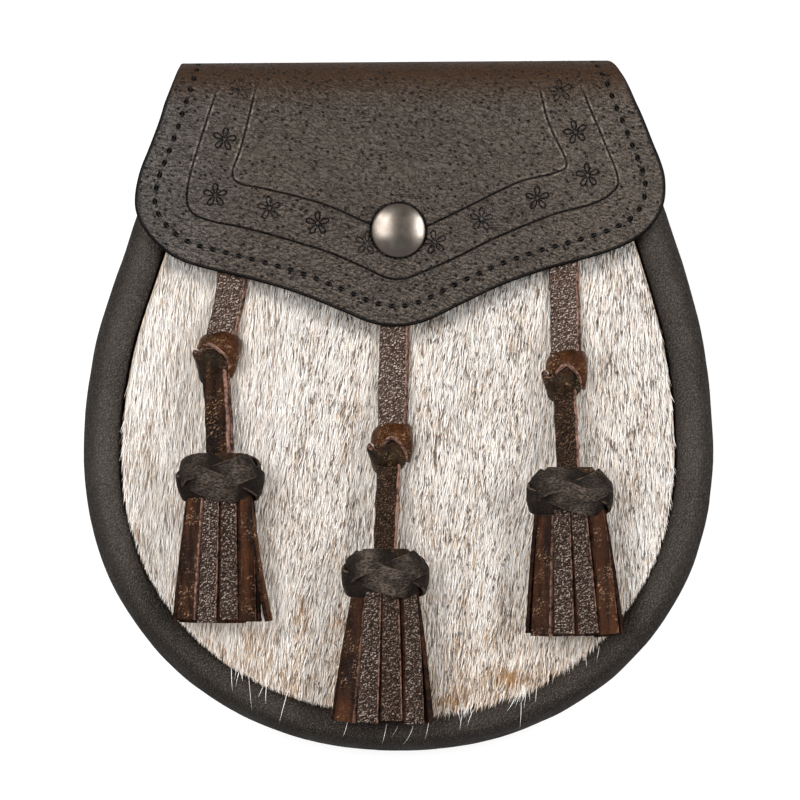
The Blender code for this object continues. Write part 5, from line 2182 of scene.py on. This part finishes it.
def make_tassels(form: PouchForm) -> list[Tassel]:
    """The three tassels with their places on the front.

    Args:
        form: The pouch's form.

    Returns:
        The left, the centre and the right one.
    """
    left = Tassel(
        Side.LEFT, form, sewn=mm(-49.4, 54.0), out=mm(-50.6, 34.0), tie=mm(-54.4, 14.8),
        head=mm(-53.2, -21.0), fringe_y=-64.8 * MM, skirt=12.4 * MM, lean=-1.2 * MM, knot=HOOKED_KNOT,
        weave_turn=0.35, strip_phase=0.75, seed=11, stray=4.6 * MM, low_skin=(3, -0.2), ply=1.3 * MM,
    )
    centre = Tassel(
        Side.CENTRE, form, sewn=mm(-1.4, 41.0), out=mm(-1.6, 18.0), tie=mm(-2.4, -12.6),
        head=mm(-3.9, -49.6), fringe_y=-95.0 * MM, skirt=14.6 * MM, lean=-0.8 * MM, knot=CURLED_KNOT,
        weave_turn=0.1, strip_phase=0.95, seed=12,
    )
    right = Tassel(
        Side.RIGHT, form, sewn=mm(48.4, 54.0), out=mm(49.4, 34.0), tie=mm(49.8, 9.2),
        head=mm(51.2, -25.2), fringe_y=-69.0 * MM, skirt=14.0 * MM, lean=1.4 * MM, knot=CURLED_KNOT,
        weave_turn=0.0, strip_phase=0.75, seed=13,
    )
    return [left, centre, right]


# ---------------------------------------------------------------- fur


@dataclass(frozen=True)
class HairLayer:
    """One sowing of hairs. Their length, width and lift each run from a least to a most."""

    name: str
    count: int
    seed: int
    length: Pair
    width: Pair
    lift: Pair
    shares: tuple[float, ...] = (0.0, 0.35, 0.7, 1.0)
    shade: float = 1.0


@dataclass
class FurFront:
    """The hair-on hide of the front: the hide, and hairs that lie down on it."""

    form: PouchForm
    field: EdgeField
    tassels: Sequence[Tassel]
    # The flap's lower edge, along which a shadow is painted on the hair.
    flap_edge: Array  # the flap's lower edge, seen from the front
    hide_inset: float = 11.9 * MM
    hide_thick: float = 3.2 * MM
    hide_top: float = 88.0 * MM
    pile: float = 0.9 * MM  # the hide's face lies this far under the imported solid's
    sown: tuple[tuple[float, float], tuple[float, float]] = (mm(-84.0, -93.0), mm(84.0, 70.0))
    root_inset: float = 12.2 * MM
    lean: float = -0.15
    lap: Pair = mm(0.2, 2.6)
    shy: Pair = mm(-0.15, 0.85)  # the lap where the hair stops short of the border
    clump: float = 1.7 * MM  # width of a lock of hair
    scatter: Pair = (12.9898, 43758.5453)  # two large numbers that shift each row of locks by chance
    white: Colour = (1.0, 0.968, 0.93)
    cream: Colour = (0.94, 0.85, 0.76)
    tan: Colour = (0.60, 0.43, 0.29)
    rust: Colour = (0.47, 0.27, 0.12)
    # The undercoat is darker than the white top hairs: its own tone, with painted shade where it shows
    # between them.
    undercoat: Colour = (0.82, 0.72, 0.63)
    grey: Colour = (0.17, 0.125, 0.095)
    darkest: float = 0.22  # hair with less red than this is short and wide
    # Rust patches: x, y, half width and half height in millimetres, and how much of the hair is rust.
    spots: tuple = (
        (15.0, -86.0, 6.0, 3.2, 0.45), (34.5, -78.6, 5.4, 2.4, 0.85), (28.0, -68.0, 3.0, 2.6, 0.3),
        (19.0, -55.0, 2.5, 4.0, 0.2), (-28.0, -60.0, 2.5, 4.0, 0.3), (-18.0, -62.0, 2.4, 3.6, 0.25),
        (-44.0, -68.0, 3.0, 3.5, 0.3), (-33.0, -80.0, 5.0, 3.0, 0.2),
    )
    # Single hairs over the border: x and y of the root, length, all in millimetres, and angle.
    strays: tuple = (
        (-50.0, -79.2, 6.3, 0.0), (-47.9, -80.7, 3.4, -0.18), (-44.9, -81.0, 10.5, 0.09),
        (-40.4, -84.6, 3.0, -0.4), (-39.5, -84.6, 4.8, -0.12), (-33.2, -86.4, 9.3, -0.26),
        (-15.2, -94.8, 4.5, -0.1), (-3.5, -96.0, 5.2, -0.17), (-0.2, -96.6, 2.6, -0.3),
        (4.4, -96.6, 5.0, -0.24), (9.2, -94.8, 5.2, -0.17), (22.4, -91.8, 4.7, -0.46),
        (19.0, -93.0, 4.0, -0.15), (35.2, -87.9, 4.0, -0.46), (36.7, -89.7, 7.2, 0.0),
        (41.5, -84.9, 4.3, -0.2), (45.2, -79.2, 3.4, -0.26), (55.9, -74.4, 3.9, 0.07),
        (60.1, -72.9, 3.4, -0.18),
    )
    # Tufts of them: x and y of the roots, how far they spread, their number and their longest.
    tufts: tuple = ((37.5, -84.5, 1.5, 24, 6.2), (17.0, -90.2, 4.5, 30, 4.2), (-48.0, -79.0, 2.0, 7, 4.0))
    layers: tuple[HairLayer, ...] = (
        HairLayer("fur_undercoat", 62000, 1, mm(4.5, 8.0), mm(0.2, 0.36), mm(0.2, 0.9), (0.0, 0.5, 1.0), 0.9),
        HairLayer("fur_coat_first", 38000, 2, mm(4.6, 8.0), mm(0.17, 0.31), mm(0.7, 1.5)),
        HairLayer("fur_coat_second", 36000, 3, mm(4.0, 7.6), mm(0.16, 0.3), mm(1.0, 1.9)),
    )

    def build(self, shop: Workshop) -> None:
        """Makes the hide, the three sowings of hair and the stray hairs.

        Args:
            shop: The finishes.
        """
        x, y = self.form.grid(self.hide_inset, self.hide_top, np.linspace(-1.0, 1.0, 91))
        level = self.form.fur(x, y)
        outer = coords(x, y, level - self.pile + 0.12 * MM * waves(x, y, 11.0 * MM, 31))
        skin = Skin()
        skin.add_wall(outer, coords(x, y, level - self.hide_thick), (0, 1, 1))
        skin.piece("haired_hide_panel", [shop.hide, shop.flesh], ["fur_front"])
        for layer in self.layers:
            self.build_layer(layer, shop)
        self.build_strays(shop)

    def ground(self, x: Array, y: Array) -> Array:
        """Height of what hair lies on: the hide, or the border where it laps it.

        Args:
            x: Places across.
            y: Places along.

        Returns:
            A height for each place.
        """
        inset, seam = self.field.inset(x, y), self.form.seam_inset
        hide = self.form.fur(x, y) - self.pile
        rim = self.form.rim(np.minimum(inset, seam), y) + 0.15 * MM
        share = ramp(inset, seam - 0.6 * MM, seam + 0.9 * MM)
        return hide * share + np.maximum(rim, hide + 0.1 * MM) * (1.0 - share)

    def shares(self, x: Array, y: Array, beside: Array) -> tuple[Array, Array, Array, Array]:
        """How much of the hair has each of the darker colours.

        Args:
            x: Places across.
            y: Places along.
            beside: How close to a tassel each is.

        Returns:
            The shares of grey, rust, tan and cream hair.
        """
        low, foot = ramp(-y, *mm(-10.0, 90.0)), ramp(-y, *mm(58.0, 82.0))
        patch, broad = waves(x, y * 0.35, 9.0 * MM, 41), waves(x, y * 0.5, 34.0 * MM, 42)
        fine = waves(x, y * 0.12, 2.4 * MM, 43)
        inner = ramp(x, *mm(-52.0, -20.0))
        dark = 0.075 + 0.05 * patch + 0.03 * broad + 0.07 * fine + 0.125 * inner + 0.07 * foot
        rust = 0.005 + 0.03 * foot
        for *middle, wide, tall, much in self.spots:
            across, along = (coords(x, y) - mm(*middle)).T
            rust = rust + much * bell(across, wide * MM) * bell(along, tall * MM)
        warm = np.clip(0.02 + 0.08 * patch + 0.05 * fine + 0.03 * low + 0.14 * foot, 0.01, 0.6)
        # Painted light beside the tassels: more cream hair there, and less grey.
        cream = np.clip(0.3 + 0.10 * broad + 0.04 * low + 0.14 * foot, 0.1, 0.7) + 0.25 * beside
        return np.clip(dark, 0.02, 0.6) * (1.0 - 0.6 * beside), rust, warm, cream

    def dye_and_painted_light(self, x: Array, y: Array, rng: np.random.Generator, shade: float) -> Array:
        """Colours of hairs, with a painted shadow under the flap's edge and painted light beside the tassels.

        Args:
            x: Their roots.
            y: Their roots.
            rng: Where chance comes from.
            shade: How light this layer is.

        Returns:
            A colour for each hair.
        """
        beside = np.zeros(len(x))
        for tassel in self.tassels:
            for margin in mm(2.0, 4.0, 6.0):
                beside = np.maximum(beside, tassel.covers(x, y, margin) * (1.3 - margin / (6.0 * MM)))
        dark, rust, warm, cream = self.shares(x, y, beside)
        pick = rng.random(len(x))[:, None]
        # The undercoat's colours are darker: its own tone, with painted shade.
        base, paler = (self.white, 1.0) if shade == 1.0 else (self.undercoat, 0.9)
        grey = np.array(self.grey) * (1.9 - 0.9 * ramp(x, *mm(-52.0, -20.0)))[:, None]
        bounds = np.cumsum([dark, rust, warm, cream], axis=0)[..., None] > pick
        tones = [grey, np.array(self.rust), np.array(self.tan) * paler, np.array(self.cream) * paler]
        colours = np.select(list(bounds), tones, np.array(base))
        # Painted shadow under the flap's edge, and painted light beside the tassels.
        under = gap_to_line(coords(x, y), self.flap_edge)
        light = shade * (1.0 - 0.5 * bell(under, 2.2 * MM)) * (1.0 + 0.07 * beside)
        return colours * (light * rng.uniform(0.8, 1.12, len(x)))[:, None]

    @staticmethod
    def comb(x: Array, y: Array, length: Array, angle: Array, bend: Array, shares: Array) -> Sequence[Array]:
        """Where hairs run, seen from the front.

        Args:
            x: Their roots.
            y: Their roots.
            length: Their lengths.
            angle: Their directions, from straight down.
            bend: How far their tips turn sideways.
            shares: The shares of their length that are wanted.

        Returns:
            Their x and y, a column for each share.
        """
        run = length[:, None] * shares
        across = x[:, None] + np.sin(angle)[:, None] * run + bend[:, None] * shares**2
        return across, y[:, None] - np.cos(angle)[:, None] * run

    @staticmethod
    def blades(skin: Skin, spine: Array, width: Array, angle: Array, roll: Array, colours: Array) -> Array:
        """Adds hairs as narrow blades that end in a point.

        Args:
            skin: What they are added to.
            spine: Places on each hair, a row for each hair.
            width: Their widths at the root.
            angle: Their directions.
            roll: How far each is turned about itself.
            colours: Their colours.

        Returns:
            A colour for each new corner.
        """
        count, places = spine.shape[:2]
        taper = 1.0 - np.linspace(0.0, 1.0, places) ** 1.6
        across = coords(np.cos(angle) * np.cos(roll), np.sin(angle) * np.cos(roll), np.sin(roll))
        offset = across[:, None] * (0.5 * width[:, None] * taper)[..., None]
        pairs = np.stack([spine - offset, spine + offset], axis=2)[:, :-1].reshape(count, -1, 3)
        corners = np.concatenate([pairs, spine[:, -1:]], axis=1)
        per = corners.shape[1]
        start = np.arange(count)[:, None] * per
        quads = [start + np.array((2 * k + 1, 2 * k, 2 * k + 2, 2 * k + 3)) for k in range(places - 2)]
        tips = start + np.array((per - 2, per - 3, per - 1))
        skin.add(corners.reshape(-1, 3), [(np.concatenate(quads), 0), (tips, 0)])
        # Each hair darkens towards its root: the fur's own grey-brown roots, with painted shade where hairs
        # overlap; its tip takes a slight painted highlight.
        light = np.interp(np.linspace(0.0, 1.0, places), (0.0, 0.4, 1.0), (0.6, 0.98, 1.04))
        return (colours[:, None, :] * np.repeat(light, 2)[:-1, None]).reshape(-1, 3)

    def build_layer(self, layer: HairLayer, shop: Workshop) -> None:
        """Makes one sowing.

        Args:
            layer: The sowing.
            shop: The finishes.
        """
        rng = np.random.default_rng(layer.seed)
        places = rng.uniform(*self.sown, (int(layer.count * 1.7), 2))
        x, y = places[self.field.inset(*places.T) > self.root_inset][: layer.count].T
        count = len(x)
        dyes_and_painted_light = self.dye_and_painted_light(x, y, rng, layer.shade)
        # Dark hairs are short and wide: grey hairs of the fur that also stand in as painted shade between the
        # locks.
        dark = dyes_and_painted_light[:, 0] < self.darkest
        length = rng.uniform(*layer.length, count) * (0.85 + 0.15 * waves(x, y, 14.0 * MM, 51))
        length = length * np.where(dark, 0.42, 1.0)
        leaning = (1.0 - ramp(x, *mm(30.0, 75.0))) * (1.0 - 0.5 * ramp(-x, *mm(30.0, 60.0)))
        angle = self.lean * leaning + 0.06 * waves(x, y, 46.0 * MM, 52) + 0.07 * waves(x, y, 9.0 * MM, 53)
        angle = angle + rng.normal(0.0, 0.095, count)
        shift = np.modf(np.abs(np.sin(np.floor(y / (5.0 * MM)) * self.scatter[0]) * self.scatter[1]))[0]
        middle = (np.floor(x / self.clump + shift) + 0.5 - shift) * self.clump
        bend = 0.4 * (middle - x) + rng.normal(0.0, 0.3 * MM, count)
        lapping = ramp(x, *mm(-2.0, 8.0)) * ramp(-y, *mm(58.0, 76.0))
        lap = rng.uniform(*self.lap, count) * lapping + rng.uniform(*self.shy, count) * (1.0 - lapping)
        limit, here = self.form.seam_inset - lap, self.field.inset(x, y)
        for _ in range(3):
            tip_x, tip_y = self.comb(x, y, length, angle, bend, np.array([1.0]))
            there = self.field.inset(tip_x[:, 0], tip_y[:, 0])
            share = np.where(there < limit, (here - limit) / np.maximum(here - there, 1e-6), 1.0)
            length = length * np.clip(share, 0.12, 1.0)
        shares = np.array(layer.shares)
        px, py = self.comb(x, y, length, angle, bend, shares)
        lift = rng.uniform(*layer.lift, count) + 0.25 * MM * waves(x, y, 6.0 * MM, 54)
        rise = np.sin(np.clip(shares * 2.2, 0.0, math.pi / 2)) - 0.35 * shares**3
        ground = self.ground(px, py)
        z = ground + np.maximum(lift, 0.1 * MM)[:, None] * rise
        covered = np.any([tassel.covers(px.ravel(), py.ravel(), GAP) for tassel in self.tassels], axis=0)
        roof = np.maximum(self.form.fur(px, py) + 0.1 * MM, ground)
        z = np.where(covered.reshape(px.shape), np.minimum(z, roof), z)
        width = rng.uniform(*layer.width, count) * np.where(dark, 1.5, 1.0)
        skin = Skin()
        colours = self.blades(skin, coords(px, py, z), width, angle, rng.normal(0.0, 0.5, count), dyes_and_painted_light)
        skin.piece(layer.name, [shop.hair], sharp=180.0, colours=colours)

    def build_strays(self, shop: Workshop) -> None:
        """Makes the long white hairs that reach over the border at the bottom.

        Args:
            shop: The finishes.
        """
        rng = np.random.default_rng(7)
        rows = list(self.strays)
        for tuft_x, tuft_y, spread, count, longest in self.tufts:
            for _ in range(count):
                place = rng.uniform((-spread, -0.6, 0.5 * longest, -0.42), (spread, 1.6, longest, 0.12))
                rows.append(place + (tuft_x, tuft_y, 0.0, 0.0))
        x, y, length, angle = np.array(rows).T
        x, y, length = x * MM, (y + 1.0) * MM, (length + 1.0) * MM
        count, shares = len(x), np.linspace(0.0, 1.0, 6)
        px, py = self.comb(x, y, length, angle, rng.normal(0.0, 0.5 * MM, count), shares)
        z = self.ground(px, py) + 0.2 * MM + rng.uniform(*mm(0.6, 1.6), (count, 1)) * np.sin(shares * 2.4)
        width = rng.uniform(*mm(0.15, 0.22), count)
        colours = np.tile(self.white, (count, 1))
        skin = Skin()
        colours = self.blades(skin, coords(px, py, z), width, angle, rng.normal(0.0, 0.4, count), colours)
        skin.piece("fur_stray_hairs", [shop.hair], sharp=180.0, colours=colours)


# ---------------------------------------------------------------- studio


@dataclass(frozen=True)
class Softbox:
    """A soft light at one side of the table."""

    name: str
    place: tuple[float, float, float]
    size: Pair
    watts: float

    def hang(self) -> None:
        """Hangs the light and turns it to the pouch."""
        light = bpy.data.lights.new(self.name, "AREA")
        light.shape = "RECTANGLE"
        light.size, light.size_y = self.size
        light.energy = self.watts
        made = bpy.data.objects.new(self.name, light)
        bpy.context.scene.collection.objects.link(made)
        x, y, z = self.place
        made.location = self.place
        made.rotation_euler = (-math.atan2(y, z), math.atan2(x, math.hypot(y, z)), 0.0)


@dataclass
class Studio:
    """A pale table, two soft lights, a soft sky and the camera straight above."""

    floor_half: float = 3.0
    floor_drop: float = 0.2 * MM
    camera_height: float = 4.0
    picture: Pair = mm(0.45, 1.8)  # what the picture's middle looks at
    picture_width: float = 0.24
    picture_level: float = 20.0 * MM
    sensor: float = 36.0
    zenith: float = 0.34
    horizon: float = 0.42
    floor_glow: float = 0.76
    lights: tuple[Softbox, ...] = (
        Softbox("softbox_left", (-1.0, 0.42, 1.5), (0.95, 1.5), 34.0),
        Softbox("softbox_right", (1.35, 0.3, 1.25), (0.5, 1.3), 25.0),
    )

    def build(self) -> None:
        """Sets up the table, the lights and the camera."""
        self.lay_floor()
        self.light_sky()
        for light in self.lights:
            light.hang()
        self.place_camera()
        bpy.context.scene.view_settings.view_transform = "Standard"

    def lay_floor(self) -> None:
        """Lays the pale table top."""
        half, low = self.floor_half, -self.floor_drop
        mesh = bpy.data.meshes.new("table_top")
        square = [(-half, -half, low), (half, -half, low), (half, half, low), (-half, half, low)]
        mesh.from_pydata(square, [], [(0, 1, 2, 3)])
        floor = bpy.data.objects.new("table_top", mesh)
        bpy.context.scene.collection.objects.link(floor)
        coat = Coat("pale_table", specular_ior_level=0.1, emission_color=(1.0, 1.0, 1.0))
        seen = coat.add("LightPath", {}).outputs["Is Camera Ray"]
        coat.feed(coat.shader.inputs["Emission Strength"], coat.times(seen, self.floor_glow))
        mesh.materials.append(coat.finish((0.36, 0.36, 0.36), 0.9))

    def light_sky(self) -> None:
        """Lights the room evenly, less from straight above than from the sides."""
        world = bpy.data.worlds.new("studio_sky")
        bpy.context.scene.world = world
        world.use_nodes = True
        wiring = Wiring(world.node_tree)
        sky = world.node_tree.nodes["Background"]
        _, _, height = wiring.add("SeparateXYZ", {0: wiring.add("TexCoord", {}).outputs["Generated"]}).outputs
        wiring.feed(sky.inputs["Color"], (1.0, 0.99, 0.97))
        wiring.feed(sky.inputs["Strength"], wiring.remap(height, 0.45, 0.97, self.horizon, self.zenith))

    def place_camera(self) -> None:
        """Places the camera straight above the pouch, with a long lens."""
        camera = bpy.data.cameras.new("camera")
        camera.sensor_width = self.sensor
        camera.lens = self.sensor * (self.camera_height - self.picture_level) / self.picture_width
        camera.clip_end = 50.0
        made = bpy.data.objects.new("camera", camera)
        made.location = (*self.picture, self.camera_height)
        bpy.context.scene.collection.objects.link(made)
        bpy.context.scene.camera = made


def corners(box: tuple) -> list[list[float]]:
    """A box as plain lists."""
    return [[float(value) for value in corner] for corner in box]


def main() -> None:
    """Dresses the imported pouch, piece by piece."""
    logging.basicConfig(level=logging.INFO, format="%(message)s")
    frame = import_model()
    form, thread, shop = PouchForm(), Thread(), Workshop()
    tassels = make_tassels(form)
    Border(form).build(shop)
    Back(form, thread).build(shop)
    Snap(form).build(shop, frame["nodes"]["snap_stud"])
    for tassel in tassels:
        tassel.build(shop)
    flap = Flap(form, thread)
    flap.build(shop)
    FurFront(form, EdgeField(form), tassels, flap.surface(flap.cut_edge()[::4], 0.0)[:, :2]).build(shop)
    Studio().build()


if __name__ == "__main__":
    main()
